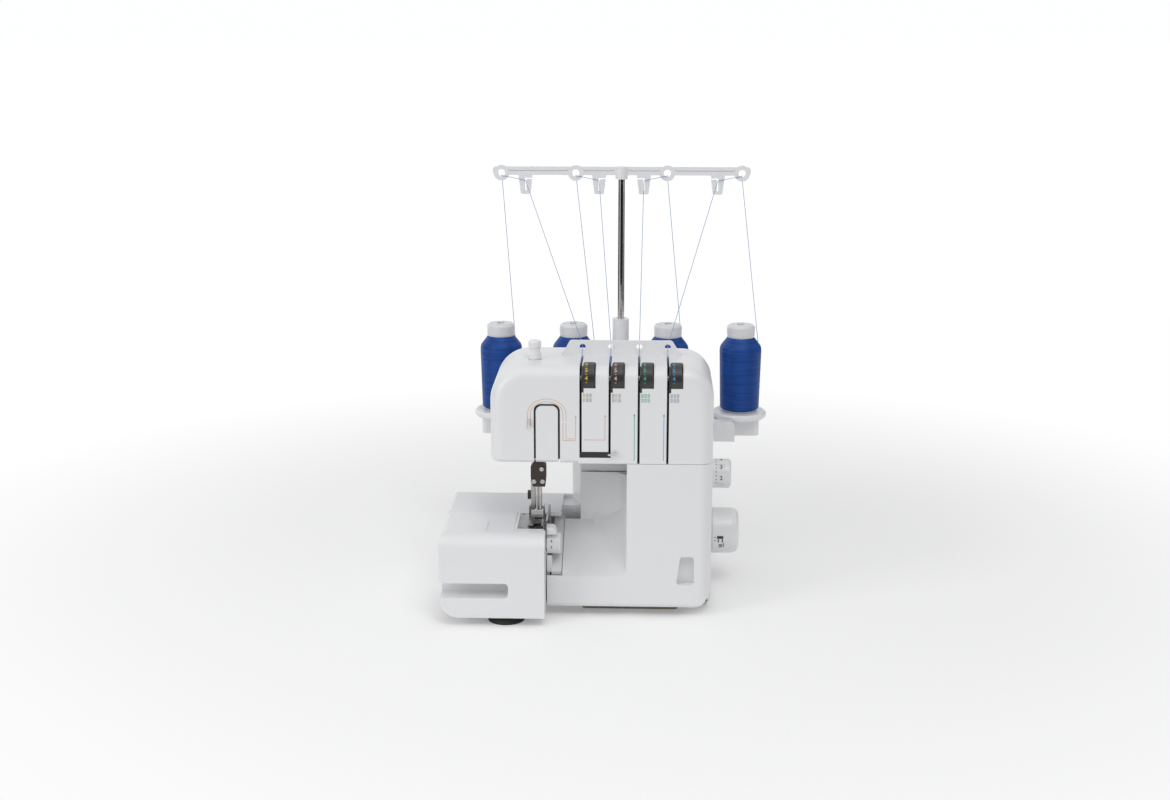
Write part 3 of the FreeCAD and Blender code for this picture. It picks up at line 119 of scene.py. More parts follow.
# rows of points joined into one skin: closed by its two ends, or by joining the last row to the first
def sweepRows(rows, ring=False):
    count, total = len(rows[0]), len(rows)
    points = [p for row in rows for p in row]
    faces = []
    if not ring:
        faces += [tuple(range(count)), tuple(reversed(range(len(points) - count, len(points))))]
    for r in range(total if ring else total - 1):
        low, high = r * count, (r + 1) % total * count
        for k in range(count):
            n = (k + 1) % count
            faces.append((low + n, low + k, high + k, high + n))
    return points, faces


def extrudeX(outline, x0, x1):
    return sweepRows([[(x, y, z) for y, z in outline] for x in (x0, x1)])


def extrudeY(outline, y0, y1):
    return sweepRows([[(x, y, z) for x, z in outline] for y in (y0, y1)])


def extrudeZ(outline, z0, z1):
    return sweepRows([[(x, y, z) for x, y in outline] for z in (z0, z1)])


def boxLine(x0, x1, z0, z1):
    return [(x0, z0), (x1, z0), (x1, z1), (x0, z1)]


def arcLine(cx, cz, rx, rz, start, end, steps):
    turns = [math.radians(start + (end - start) * i / steps) for i in range(steps + 1)]
    return [(cx + rx * math.cos(t), cz + rz * math.sin(t)) for t in turns]


def ringLine(cx, cz, rx, rz, sides):
    return arcLine(cx, cz, rx, rz, 0, 360, sides)[:-1]


# shared effects, each one a node group placed in several finishes
def newGroup(name, inputs, outputs):
    group = bpy.data.node_groups.new(name, "ShaderNodeTree")
    for label, kind, value in inputs:
        socket = group.interface.new_socket(name=label, in_out="INPUT", socket_type=kind)
        socket.default_value = value
    for label, kind in outputs:
        group.interface.new_socket(name=label, in_out="OUTPUT", socket_type=kind)
    return group, group.nodes.new("NodeGroupInput"), group.nodes.new("NodeGroupOutput")


def addNode(tree, kind, **settings):
    node = tree.nodes.new(kind)
    for key, value in settings.items():
        if key in node.inputs:
            node.inputs[key].default_value = value
        else:
            setattr(node, key, value)
    return node


def setSockets(node, values):
    for key, value in values.items():
        node.inputs[key].default_value = value


def wire(tree, *pairs):
    for source, target in pairs:
        tree.links.new(source, target)


# soft cloudy colour change, slight change of gloss and a fine moulded grain
mouldSkin, skinIn, skinOut = newGroup(
    "mouldSkin",
    [("Colour", "NodeSocketColor", (0.8, 0.8, 0.8, 1)), ("Shade", "NodeSocketColor", (0.75, 0.75, 0.75, 1)),
     ("Smooth", "NodeSocketFloat", 0.25), ("Dull", "NodeSocketFloat", 0.4),
     ("Grain", "NodeSocketFloat", 1400.0)],
    [("Colour", "NodeSocketColor"), ("Roughness", "NodeSocketFloat"), ("Height", "NodeSocketFloat")])
place = addNode(mouldSkin, "ShaderNodeTexCoord")
cloud = addNode(mouldSkin, "ShaderNodeTexNoise", Scale=9.0, Detail=3.0)
fine = addNode(mouldSkin, "ShaderNodeTexNoise", Detail=2.0)
smear = addNode(mouldSkin, "ShaderNodeTexNoise", Scale=38.0, Detail=4.0)
tone = addNode(mouldSkin, "ShaderNodeMix", data_type="RGBA")
gloss = addNode(mouldSkin, "ShaderNodeMapRange")
setSockets(gloss, {"From Min": 0.35, "From Max": 0.65})
wire(mouldSkin, (place.outputs["Object"], cloud.inputs["Vector"]),
     (place.outputs["Object"], fine.inputs["Vector"]),
     (place.outputs["Object"], smear.inputs["Vector"]), (skinIn.outputs["Grain"], fine.inputs["Scale"]),
     (cloud.outputs["Fac"], tone.inputs["Factor"]), (skinIn.outputs["Colour"], tone.inputs[6]),
     (skinIn.outputs["Shade"], tone.inputs[7]), (smear.outputs["Fac"], gloss.inputs["Value"]),
     (skinIn.outputs["Smooth"], gloss.inputs["To Min"]), (skinIn.outputs["Dull"], gloss.inputs["To Max"]),
     (tone.outputs[2], skinOut.inputs["Colour"]), (gloss.outputs["Result"], skinOut.inputs["Roughness"]),
     (fine.outputs["Fac"], skinOut.inputs["Height"]))

# drawn metal: long fine streaks that change gloss and tone
metalDraw, drawIn, drawOut = newGroup(
    "metalDraw",
    [("Colour", "NodeSocketColor", (0.6, 0.6, 0.6, 1)), ("Shade", "NodeSocketColor", (0.4, 0.4, 0.4, 1)),
     ("Smooth", "NodeSocketFloat", 0.15), ("Dull", "NodeSocketFloat", 0.35),
     ("Streak", "NodeSocketVector", (2500.0, 2500.0, 60.0))],
    [("Colour", "NodeSocketColor"), ("Roughness", "NodeSocketFloat"), ("Height", "NodeSocketFloat")])
place = addNode(metalDraw, "ShaderNodeTexCoord")
stretch = addNode(metalDraw, "ShaderNodeVectorMath", operation="MULTIPLY")
lines = addNode(metalDraw, "ShaderNodeTexNoise", Scale=1.0, Detail=3.0)
cloud = addNode(metalDraw, "ShaderNodeTexNoise", Scale=70.0, Detail=3.0)
tone = addNode(metalDraw, "ShaderNodeMix", data_type="RGBA")
gloss = addNode(metalDraw, "ShaderNodeMapRange")
setSockets(gloss, {"From Min": 0.3, "From Max": 0.7})
wire(metalDraw, (place.outputs["Object"], stretch.inputs[0]), (drawIn.outputs["Streak"], stretch.inputs[1]),
     (stretch.outputs["Vector"], lines.inputs["Vector"]), (place.outputs["Object"], cloud.inputs["Vector"]),
     (cloud.outputs["Fac"], tone.inputs["Factor"]), (drawIn.outputs["Colour"], tone.inputs[6]),
     (drawIn.outputs["Shade"], tone.inputs[7]), (lines.outputs["Fac"], gloss.inputs["Value"]),
     (drawIn.outputs["Smooth"], gloss.inputs["To Min"]), (drawIn.outputs["Dull"], gloss.inputs["To Max"]),
     (tone.outputs[2], drawOut.inputs["Colour"]), (gloss.outputs["Result"], drawOut.inputs["Roughness"]),
     (lines.outputs["Fac"], drawOut.inputs["Height"]))


def finish(name, group, values, metal=0.0, bump=0.02, depth=0.0002):
    material = bpy.data.materials.new(name)
    material.use_nodes = True
    tree = material.node_tree
    shader = tree.nodes["Principled BSDF"]
    skin = tree.nodes.new("ShaderNodeGroup")
    skin.node_tree = group
    for key, value in values.items():
        if isinstance(value, tuple) and skin.inputs[key].type == "RGBA":
            value = (*value, 1.0)
        skin.inputs[key].default_value = value
    rise = addNode(tree, "ShaderNodeBump", Strength=bump, Distance=depth)
    shader.inputs["Metallic"].default_value = metal
    wire(tree, (skin.outputs["Colour"], shader.inputs["Base Color"]),
         (skin.outputs["Roughness"], shader.inputs["Roughness"]),
         (skin.outputs["Height"], rise.inputs["Height"]), (rise.outputs["Normal"], shader.inputs["Normal"]))
    material.diffuse_color = (*values["Colour"], 1.0)
    return material


finishes = {
    "white_shell": finish("whiteShell", mouldSkin, {
        "Colour": (0.835, 0.838, 0.852), "Shade": (0.82, 0.823, 0.837),
        "Smooth": 0.30, "Dull": 0.35, "Grain": 1700.0}, bump=0.03, depth=0.0001),
    "dark_plastic": finish("darkPlastic", mouldSkin, {
        "Colour": (0.022, 0.022, 0.024), "Shade": (0.035, 0.035, 0.036),
        "Smooth": 0.42, "Dull": 0.6, "Grain": 2200.0}, bump=0.15, depth=0.0002),
    "dial_black": finish("dialBlack", mouldSkin, {
        "Colour": (0.030, 0.030, 0.030), "Shade": (0.042, 0.042, 0.041),
        "Smooth": 0.28, "Dull": 0.42, "Grain": 1900.0}, bump=0.10, depth=0.0001),
    "satin_steel": finish("satinSteel", metalDraw, {
        "Colour": (0.50, 0.495, 0.485), "Shade": (0.40, 0.395, 0.39),
        "Smooth": 0.20, "Dull": 0.36, "Streak": (160.0, 2600.0, 2600.0)}, metal=1.0, bump=0.04),
    "chrome_steel": finish("chromeSteel", metalDraw, {
        "Colour": (0.62, 0.61, 0.595), "Shade": (0.52, 0.51, 0.50),
        "Smooth": 0.05, "Dull": 0.12, "Streak": (2600.0, 2600.0, 90.0)}, metal=1.0, bump=0.01),
    "clamp_dark": finish("clampDark", metalDraw, {
        "Colour": (0.045, 0.033, 0.028), "Shade": (0.075, 0.055, 0.045),
        "Smooth": 0.28, "Dull": 0.46, "Streak": (900.0, 900.0, 900.0)}, metal=0.55, bump=0.10),
    "frame_alloy": finish("frameAlloy", metalDraw, {
        "Colour": (0.52, 0.53, 0.54), "Shade": (0.42, 0.43, 0.44),
        "Smooth": 0.38, "Dull": 0.55, "Streak": (700.0, 700.0, 700.0)}, metal=1.0, bump=0.25),
    "bush_brass": finish("bushBronze", metalDraw, {
        "Colour": (0.62, 0.45, 0.22), "Shade": (0.50, 0.36, 0.18),
        "Smooth": 0.30, "Dull": 0.45, "Streak": (900.0, 900.0, 900.0)}, metal=1.0, bump=0.10),
    "motor_paint": finish("motorPaint", mouldSkin, {
        "Colour": (0.06, 0.06, 0.065), "Shade": (0.09, 0.09, 0.095),
        "Smooth": 0.35, "Dull": 0.5, "Grain": 900.0}, bump=0.2, depth=0.0002),
    "foot_rubber": finish("footRubber", mouldSkin, {
        "Colour": (0.020, 0.019, 0.018), "Shade": (0.034, 0.032, 0.030),
        "Smooth": 0.62, "Dull": 0.8, "Grain": 1200.0}, bump=0.25, depth=0.0003),
    "spool_clear": finish("spoolMilky", mouldSkin, {
        "Colour": (0.76, 0.77, 0.78), "Shade": (0.69, 0.70, 0.72),
        "Smooth": 0.28, "Dull": 0.42, "Grain": 700.0}, bump=0.08, depth=0.0002),
}
setSockets(finishes["spool_clear"].node_tree.nodes["Principled BSDF"],
           {"Subsurface Weight": 0.35, "Subsurface Radius": (0.004, 0.004, 0.0045), "Subsurface Scale": 1.0})

# royal blue polyester, wound in two crossing helices round the spool's own axis; painted shade: the colour is
# darker in the grooves between the wraps and lighter on their crests
blueThread = {"pitch": 0.0011, "lean": 3.0, "streak": (28.0, 28.0, 620.0), "dark": (0.004, 0.031, 0.165, 1),
              "light": (0.009, 0.082, 0.375, 1), "spread": (0.16, 0.56), "bump": 0.35, "depth": 0.0002,
              "roughness": (0.55, 0.40), "plain": (0.01, 0.05, 0.25, 1)}


def threadFinish(name, look):
    material = bpy.data.materials.new(name)
    material.use_nodes = True
    tree = material.node_tree
    shader = tree.nodes["Principled BSDF"]
    place = addNode(tree, "ShaderNodeTexCoord")
    parts = addNode(tree, "ShaderNodeSeparateXYZ")
    angle = addNode(tree, "ShaderNodeMath", operation="ARCTAN2")
    rise = addNode(tree, "ShaderNodeMath", operation="MULTIPLY")
    rise.inputs[1].default_value = 2 * math.pi / look["pitch"]
    wire(tree, (place.outputs["Object"], parts.inputs[0]), (parts.outputs["Y"], angle.inputs[0]),
         (parts.outputs["X"], angle.inputs[1]), (parts.outputs["Z"], rise.inputs[0]))
    waves = []
    for turn in (look["lean"], -look["lean"]):
        lead = addNode(tree, "ShaderNodeMath", operation="MULTIPLY_ADD")
        lead.inputs[1].default_value = turn
        wave = addNode(tree, "ShaderNodeMath", operation="SINE")
        wire(tree, (angle.outputs[0], lead.inputs[0]), (rise.outputs[0], lead.inputs[2]),
             (lead.outputs[0], wave.inputs[0]))
        waves.append(wave)
    top = addNode(tree, "ShaderNodeMath", operation="MAXIMUM")
    height = addNode(tree, "ShaderNodeMapRange")
    setSockets(height, {"From Min": -1.0})
    flat = addNode(tree, "ShaderNodeVectorMath", operation="MULTIPLY")
    flat.inputs[1].default_value = look["streak"]
    cloud = addNode(tree, "ShaderNodeTexNoise", Scale=1.0, Detail=3.0)
    mixed = addNode(tree, "ShaderNodeMath", operation="MULTIPLY")
    # painted shade: the ramp runs from the dark colour in the grooves between the wraps to the light colour
    # on their crests, streaked by the cloud
    ramp = addNode(tree, "ShaderNodeValToRGB")
    for stop, colour, spot in zip(ramp.color_ramp.elements, (look["dark"], look["light"]), look["spread"]):
        stop.color = colour
        stop.position = spot
    bump = addNode(tree, "ShaderNodeBump", Strength=look["bump"], Distance=look["depth"])
    dull = addNode(tree, "ShaderNodeMapRange")
    setSockets(dull, {"To Min": look["roughness"][0], "To Max": look["roughness"][1]})
    wire(tree, (waves[0].outputs[0], top.inputs[0]), (waves[1].outputs[0], top.inputs[1]),
         (top.outputs[0], height.inputs["Value"]), (place.outputs["Object"], flat.inputs[0]),
         (flat.outputs["Vector"], cloud.inputs["Vector"]), (cloud.outputs["Fac"], mixed.inputs[0]),
         (height.outputs["Result"], mixed.inputs[1]), (mixed.outputs[0], ramp.inputs["Fac"]),
         (ramp.outputs["Color"], shader.inputs["Base Color"]),
         (height.outputs["Result"], bump.inputs["Height"]), (bump.outputs["Normal"], shader.inputs["Normal"]),
         (height.outputs["Result"], dull.inputs["Value"]),
         (dull.outputs["Result"], shader.inputs["Roughness"]))
    setSockets(shader, {"Specular IOR Level": 0.25, "Sheen Weight": 0.03, "Sheen Roughness": 0.4,
                        "Sheen Tint": (0.30, 0.48, 0.95, 1)})
    material.diffuse_color = look["plain"]
    return material


finishes["thread_blue"] = threadFinish("threadBlue", blueThread)
# the strands are painted lighter than the same thread on the spools, a painted highlight along the thin
# strands
strandHighlightFinish = finish("threadStrand", mouldSkin, {
    "Colour": (0.24, 0.35, 0.62), "Shade": (0.18, 0.29, 0.56),
    "Smooth": 0.45, "Dull": 0.65, "Grain": 2600.0}, bump=0.3, depth=0.0002)


# printed marks and painted shade in small hollows: thin ink with a slightly uneven tone
def ink(name, colour):
    shade = tuple(c * 0.8 for c in colour)
    return finish(name, mouldSkin, {"Colour": colour, "Shade": shade, "Smooth": 0.35, "Dull": 0.5,
                                    "Grain": 2400.0}, bump=0.04, depth=0.0001)


# the grey last in this list paints the shade inside the pole's groove and the caps' holes
inks = {"yellow": ink("inkYellow", (0.80, 0.55, 0.02)), "pink": ink("inkPink", (0.79, 0.46, 0.40)),
        "green": ink("inkGreen", (0.03, 0.45, 0.22)), "blue": ink("inkBlue", (0.05, 0.36, 0.72)),
        "grey": ink("inkGrey", (0.28, 0.29, 0.31)), "dark": ink("inkDark", (0.045, 0.045, 0.05)),
        "orange": ink("inkOrange", (0.80, 0.53, 0.30)), "tan": ink("trimTan", (0.38, 0.29, 0.15)),
        "hollowShade": ink("hollowShadeGrey", (0.50, 0.50, 0.51))}

slotOf = {entry["node"]: entry["material_slot"] for entry in frame["record"]["subparts"]}
for label, node in frame["nodes"].items():
    node.data.materials.clear()
    node.data.materials.append(finishes[slotOf[label]])
print("finishes made:", len(finishes) + len(inks))

# threads: one smooth spline each, through eye, hook and eyelet
threadPath = {
    "spoolX": (-124.0, -46.0, 55.0, 133.0), "eyeX": (-121.5, -43.5, 52.5, 130.5),
    "hookX": (-96.2, -18.9, 27.9, 105.2), "slotX": (-30.6, -2.8, 25.0, 52.8),
    "leave": (52.0, 10.0, 48.0, 31.0), "leaveZ": 225.0, "windingRadius": 23.0, "standX": 4.5, "standY": 108.0,
    "eyeHalf": 3.7, "eyeZ": 408.6, "hookZ": 403.6,
    "headSpots": ((-44.0, 259.1), (-51.6, 258.1), (-84.0, 246.0)),
    "diameter": 0.6, "sides": 8, "nearBend": 3.6, "order": 3, "smoothSteps": 10, "blendZ": (0.262, 0.400),
}


# each bend gets a point a few diameters before and after it, so the runs stay straight
def routeWithBends(corners, near):
    spots = [Vector(corner) for corner in corners]
    route = [spots[0]]
    for before, here, after in zip(spots, spots[1:], spots[2:]):
        if (before - here).length > 3 * near:
            route.append(here + (before - here).normalized() * near)
        route.append(here)
        if (after - here).length > 3 * near:
            route.append(here + (after - here).normalized() * near)
    route.append(spots[-1])
    return route


def splineLine(route):
    curve = bpy.data.curves.new("threadRoute", "CURVE")
    curve.dimensions = "3D"
    curve.resolution_u = threadPath["smoothSteps"]
    spline = curve.splines.new("NURBS")
    spline.points.add(len(route) - 1)
    for point, spot in zip(spline.points, route):
        point.co = (spot[0] * mm, spot[1] * mm, spot[2] * mm, 1.0)
    spline.order_u = threadPath["order"]
    spline.use_endpoint_u = True
    carrier = bpy.data.objects.new("threadCarrier", curve)
    scene.collection.objects.link(carrier)
    drawn = bpy.data.meshes.new_from_object(carrier.evaluated_get(bpy.context.evaluated_depsgraph_get()))
    bpy.data.objects.remove(carrier)
    return [vertex.co.copy() for vertex in drawn.vertices]


def strandTube(name, line, radius, sides):
    rows = []
    for i, here in enumerate(line):
        along = (line[min(i + 1, len(line) - 1)] - line[max(i - 1, 0)]).normalized()
        across = along.cross(Vector((1, 0, 0)))
        if across.length < 0.1:
            across = along.cross(Vector((0, 1, 0)))
        across.normalize()
        third = along.cross(across)
        rows.append([here + across * a + third * b for a, b in ringLine(0.0, 0.0, radius, radius, sides)])
    return meshOf(name, sweepRows(rows), True, 1.0)


for i in range(4):
    spool, eye = threadPath["spoolX"][i], threadPath["eyeX"][i]
    hook, slot = threadPath["hookX"][i], threadPath["slotX"][i]
    turn = math.radians(threadPath["leave"][i])
    away, standY, half = threadPath["windingRadius"], threadPath["standY"], threadPath["eyeHalf"]
    line = splineLine(routeWithBends([
        (spool + away * math.cos(turn), standY + away * math.sin(turn), threadPath["leaveZ"]),
        (eye, standY + half, threadPath["eyeZ"]), (eye, standY - half, threadPath["eyeZ"]),
        (hook, standY - half, threadPath["hookZ"]), *((slot, y, z) for y, z in threadPath["headSpots"])],
        threadPath["nearBend"]))
    tube = strandTube("threadStrand%d" % (i + 1), line, threadPath["diameter"] * mm / 2, threadPath["sides"])
    strand = addPiece(tube, strandHighlightFinish, None)
    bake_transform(strand)
    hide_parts("thread_%d" % (i + 1))

# wound thread on the spools
winding = {"around": 72, "rows": 110, "ripple": 0.05, "bareRadius": 13.0, "pitch": 6.4, "leads": (2, 3),
           "shift": 1.7,
           "profile": ((10.0, 157.8), (18.5, 157.8), (20.9, 159.8), (22.4, 222.2), (22.1, 225.2),
                       (21.2, 227.7), (14.1, 237.0), (10.0, 237.0))}


def woundBody(name, shift):
    spots = [Vector((r, z)) for r, z in winding["profile"]]
    runs = [(b - a).length for a, b in zip(spots, spots[1:])]
    stations = []
    for step in range(winding["rows"] + 1):
        walk = sum(runs) * step / winding["rows"]
        for a, b, run in zip(spots, spots[1:], runs):
            if walk <= run + 1e-6:
                stations.append(a.lerp(b, min(walk / run, 1.0)))
                break
            walk -= run
    rows = []
    for r, z in stations:
        ripple = 0.0 if r < winding["bareRadius"] else winding["ripple"]
        climb = 2 * math.pi * z / winding["pitch"]
        row = []
        for k in range(winding["around"]):
            turn = 2 * math.pi * k / winding["around"]
            lift = max(math.sin(climb + turn * winding["leads"][0] + shift),
                       math.sin(climb - turn * winding["leads"][1] + shift * 2))
            out = r + ripple * (lift - 1.0)
            row.append((out * math.cos(turn), out * math.sin(turn), z))
        rows.append(row)
    return meshOf(name, sweepRows(rows, ring=True), True)


for i, x in enumerate(threadPath["spoolX"]):
    wound = addPiece(woundBody("threadWinding%d" % (i + 1), i * winding["shift"]), finishes["thread_blue"],
                     "machine", (x * mm, threadPath["standY"] * mm, 0.0))
    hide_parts("thread_windings")
print("windings made")

# printed lines on the head's face: flat ribbons a hair above the shell
faceMarks = {"y": -106.06, "thick": 0.05, "line": 0.55, "arrowFrom": 201.0, "arrow": (1.0, 2.2, 0.6)}


def ribbon(line, width, y=faceMarks["y"], thick=faceMarks["thick"]):
    rows = []
    for i, spot in enumerate(line):
        here, before = Vector(spot), Vector(line[max(i - 1, 0)])
        after = Vector(line[min(i + 1, len(line) - 1)])
        first = (here - before).normalized() if (here - before).length else (after - here).normalized()
        second = (after - here).normalized() if (after - here).length else first
        miter = (first + second).normalized()
        side = Vector((-miter.y, miter.x)) * (width / 2 / max(miter.dot(first), 0.5))
        one, other = here + side, here - side
        rows.append([(one.x, y, one.y), (one.x, y + thick, one.y), (other.x, y + thick, other.y),
                     (other.x, y, other.y)])
    return sweepRows(rows)


threadMarks = {
    "orange": [[(-82.0, 189.5), (-81.4, 204.6), *arcLine(-63.0, 205.0, 18.4, 14.6, 180, 0, 20),
                (-44.6, 198.0)],
               [(-44.6, 196.3), (-44.6, 180.4), (-35.4, 180.4), (-35.4, 201.5)]],
    "pink": [[(-78.4, 190.3), (-78.7, 204.6), *arcLine(-63.1, 205.0, 15.6, 11.9, 180, 0, 20), (-47.5, 198.0)],
             [(-47.5, 196.3), (-47.5, 178.7), (-35.4, 178.7)],
             [(-27.4, 179.5), (-7.2, 179.5), (-7.2, 202.5)]],
    "green": [[(20.9, 159.0), (20.9, 203.4)]],
    "blue": [[(49.1, 159.4), (49.1, 203.4)]],
}
for colour, runs in threadMarks.items():
    parts = [ribbon(run, faceMarks["line"]) for run in runs]
    for run in runs:    # small arrow head at each upper end
        x, z = run[-1]
        half, tip, root = faceMarks["arrow"]
        y, thick = faceMarks["y"], faceMarks["thick"]
        if z > faceMarks["arrowFrom"]:
            head = [(x - half, y, z), (x + half, y, z), (x, y, z + tip), (x, y + thick, z + root)]
            parts.append((head, [(0, 1, 2), (0, 3, 1), (1, 3, 2), (2, 3, 0)]))
    addShapes("threadLine_" + colour, parts, inks[colour], "machine")

# small stitch signs under each dial: upright wavy columns
stitchSigns = {"left": 3.7, "pitch": 3.0, "low": 217.0, "half": 4.5, "rise": 0.76, "sway": 0.85,
               "width": 0.42, "points": 6, "edge": 1.15, "edgeHigh": 3.8, "edgeWidth": 0.26}
signColours = ("yellow", "pink", "green", "blue")
for i, slot in enumerate(threadPath["slotX"]):
    own, grey = [], []
    for column in range(3):
        x = slot + stitchSigns["left"] + stitchSigns["pitch"] * column
        for half in range(2):
            low = stitchSigns["low"] + half * stitchSigns["half"]
            wave = [(x + stitchSigns["sway"] * (1 if step % 2 else -1), low + step * stitchSigns["rise"])
                    for step in range(stitchSigns["points"])]
            (own if column == i % 3 or i == 2 else grey).append(ribbon(wave, stitchSigns["width"]))
            edge = x - stitchSigns["edge"]
            (own if i == 2 else grey).append(
                ribbon([(edge, low), (edge, low + stitchSigns["edgeHigh"])], stitchSigns["edgeWidth"]))
    addShapes("stitchSign%d" % (i + 1), own, inks[signColours[i]], "machine")
    if grey:
        addShapes("stitchSignGrey%d" % (i + 1), grey, inks["grey"], "machine")
print("face marks made")

# numbers on the turning dials: text turned to a mesh and laid round the drum
dialText = {"steps": 3, "weight": 0.018}


def textFlat(word, size):
    font = bpy.data.curves.new("word", "FONT")
    font.body = word
    font.size = size
    font.align_x = "CENTER"
    font.align_y = "CENTER"
    font.resolution_u = dialText["steps"]
    font.fill_mode = "FRONT"
    font.offset = size * dialText["weight"]
    holder = bpy.data.objects.new("word", font)
    scene.collection.objects.link(holder)
    mesh = bpy.data.meshes.new_from_object(holder.evaluated_get(bpy.context.evaluated_depsgraph_get()))
    bpy.data.objects.remove(holder)
    spots = [tuple(v.co) for v in mesh.vertices]
    faces = [tuple(f.vertices) for f in mesh.polygons]
    bpy.data.meshes.remove(mesh)
    return spots, faces


def bar(width, high):
    return [(*corner, 0) for corner in boxLine(-width / 2, width / 2, -high / 2, high / 2)], [(0, 1, 2, 3)]


# a flat mark's width lies along the dial's axis (X), its height runs round the dial, seen from the front
def onDrum(dial, mark, degrees, shift=0.0):
    spots, faces = mark
    y, z, radius = dial["y"], dial["z"], dial["radius"]
    turned = []
    for across, up, _ in spots:
        angle = math.radians(degrees) + up / radius
        turned.append((dial["x"] + shift + across, y - radius * math.cos(angle),
                       z + radius * math.sin(angle)))
    return turned, faces


def wordsOn(dial):
    return [onDrum(dial, textFlat(word, dial["size"]), dial["start"] + n * dial["step"])
            for n, word in enumerate(dial["words"])]


tensionNumbers = {"x": 5.5, "y": -91.5, "z": 237.0, "radius": 15.56, "size": 5.6, "start": 12.0, "step": 30.0,
                  "places": 12, "first": 4, "bar": (1.5, 0.6)}
for i, slot in enumerate(threadPath["slotX"]):
    parts = []
    for n in range(tensionNumbers["places"]):
        turn = tensionNumbers["start"] + n * tensionNumbers["step"]
        if n < 10:
            word = textFlat(str((tensionNumbers["first"] + n) % 10), tensionNumbers["size"])
            parts.append(onDrum(tensionNumbers, word, turn, slot))
        turn += tensionNumbers["step"] / 2
        parts.append(onDrum(tensionNumbers, bar(*tensionNumbers["bar"]), turn, slot))
    addShapes("tensionNumbers%d" % (i + 1), parts, inks[signColours[i]], "tension_dial_%d" % (i + 1))

lengthMarks = {"x": 108.8, "y": -8.0, "z": 118.7, "radius": 14.96, "words": "234R1", "size": 6.2,
               "start": -4, "step": 44, "ticks": 16, "tickStart": -24, "tickStep": 15, "tickShift": -4.9,
               "tick": (1.2, 0.9), "grip": (46.0, -34.0), "gripRows": 7, "gripPitch": 1.1,
               "gripBar": (0.55, 3.4)}
parts = wordsOn(lengthMarks)
for n in range(lengthMarks["ticks"]):
    turn = lengthMarks["tickStart"] + n * lengthMarks["tickStep"]
    parts.append(onDrum(lengthMarks, bar(*lengthMarks["tick"]), turn, lengthMarks["tickShift"]))
addShapes("lengthMarks", parts, inks["dark"], "stitch_length_dial")
# grey bars in rows across the dial: painted shade between its grip ridges
parts = [onDrum(lengthMarks, bar(*lengthMarks["gripBar"]), middle,
                (row - lengthMarks["gripRows"] // 2) * lengthMarks["gripPitch"])
         for middle in lengthMarks["grip"] for row in range(lengthMarks["gripRows"])]
addShapes("lengthGripShade", parts, inks["grey"], "stitch_length_dial")

# bars of the hand wheel's sign: degrees round the wheel, width, height, shift along the axis
wheelMarks = {"x": 108.0, "y": -8.0, "z": 58.0, "radius": 23.76,
              "bars": ((-1, 6.4, 3.0, 0.5), (-10, 1.2, 3.6, 2.8), (-10, 1.2, 3.6, -1.2), (-21, 3.4, 0.9, 1.0),
                       (-25, 3.4, 0.9, 1.0), (-29, 3.4, 0.9, 1.0), (-23, 0.8, 5.4, 4.0), (-1, 1.6, 0.8, -4.8),
                       (-9, 1.6, 0.8, -4.8))}
parts = [onDrum(wheelMarks, bar(width, high), turn, shift) for turn, width, high, shift in wheelMarks["bars"]]
addShapes("wheelMarks", parts, inks["dark"], "drive_shaft")

widthDial = {"x": (-64.1, -50.6), "y": -90.0, "z": 70.0, "bore": 8.7, "radius": 10.6, "sides": 48,
             "bevel": 1.2, "shoulder": (0.3, 0.5)}
low, high = widthDial["x"]
rim, bevel, (inset, drop) = widthDial["radius"], widthDial["bevel"], widthDial["shoulder"]
profile = ((low, widthDial["bore"]), (low, rim), (high - bevel, rim), (high - inset, rim - drop),
           (high, rim - bevel), (high, widthDial["bore"]))
rows = [[(x, y, z) for y, z in ringLine(widthDial["y"], widthDial["z"], -radius, radius, widthDial["sides"])]
        for x, radius in profile]
addShapes("widthDialSleeve", [sweepRows(rows, ring=True)], finishes["white_shell"], "stitch_width_dial")

widthMarks = {"x": -59.4, "y": -90.0, "z": 70.0, "radius": 10.66, "words": "567", "size": 3.6, "start": -8,
              "step": 34}
addShapes("widthMarks", wordsOn(widthMarks), inks["dark"], "stitch_width_dial")
print("dial marks made")

# dark channels behind the thread slots, the arch gap and the exit window, painted shade standing in for the
# shade inside them
slotShadeLiner = {"front": -105.6, "deep": 7.0, "wall": 0.2, "clear": 0.01, "wide": 2.2, "backing": 0.8,
               "ends": (162.7, 162.7, 156.3, 156.3), "faceTop": 236.5, "rear": -51.0, "outerTop": 249.6,
               "innerTop": 247.2, "knee": -82.0, "floorTop": 226.0, "backTop": 225.5,
               "outerBend": (-93.0, 237.0, -12.6, 12.6, 10, 90, 8),
               "innerBend": (-91.5, 237.0, -10.4, 10.4, 80, 0, 8)}
front, rear = slotShadeLiner["front"], slotShadeLiner["rear"]
floorY, wall, clear = front + slotShadeLiner["deep"], slotShadeLiner["wall"], slotShadeLiner["clear"]
parts = []
for slot, end in zip(threadPath["slotX"], slotShadeLiner["ends"]):
    left, right = slot - slotShadeLiner["wide"] / 2, slot + slotShadeLiner["wide"] / 2
    outline = [(front, end), (front, slotShadeLiner["faceTop"])] + arcLine(*slotShadeLiner["outerBend"])
    outline += [(rear, slotShadeLiner["outerTop"]), (rear, slotShadeLiner["innerTop"])]
    outline += [(slotShadeLiner["knee"], slotShadeLiner["innerTop"])] + arcLine(*slotShadeLiner["innerBend"])
    outline += [(floorY, slotShadeLiner["floorTop"]), (floorY, end)]
    for low, high in ((left + clear, left + wall), (right - wall, right - clear)):
        parts.append(extrudeX(outline, low, high))
    parts.append(extrudeX(boxLine(floorY - slotShadeLiner["backing"], floorY, end, slotShadeLiner["backTop"]),
                          left + wall, right - wall))
addShapes("slotShadeLiners", parts, finishes["dark_plastic"], "machine")
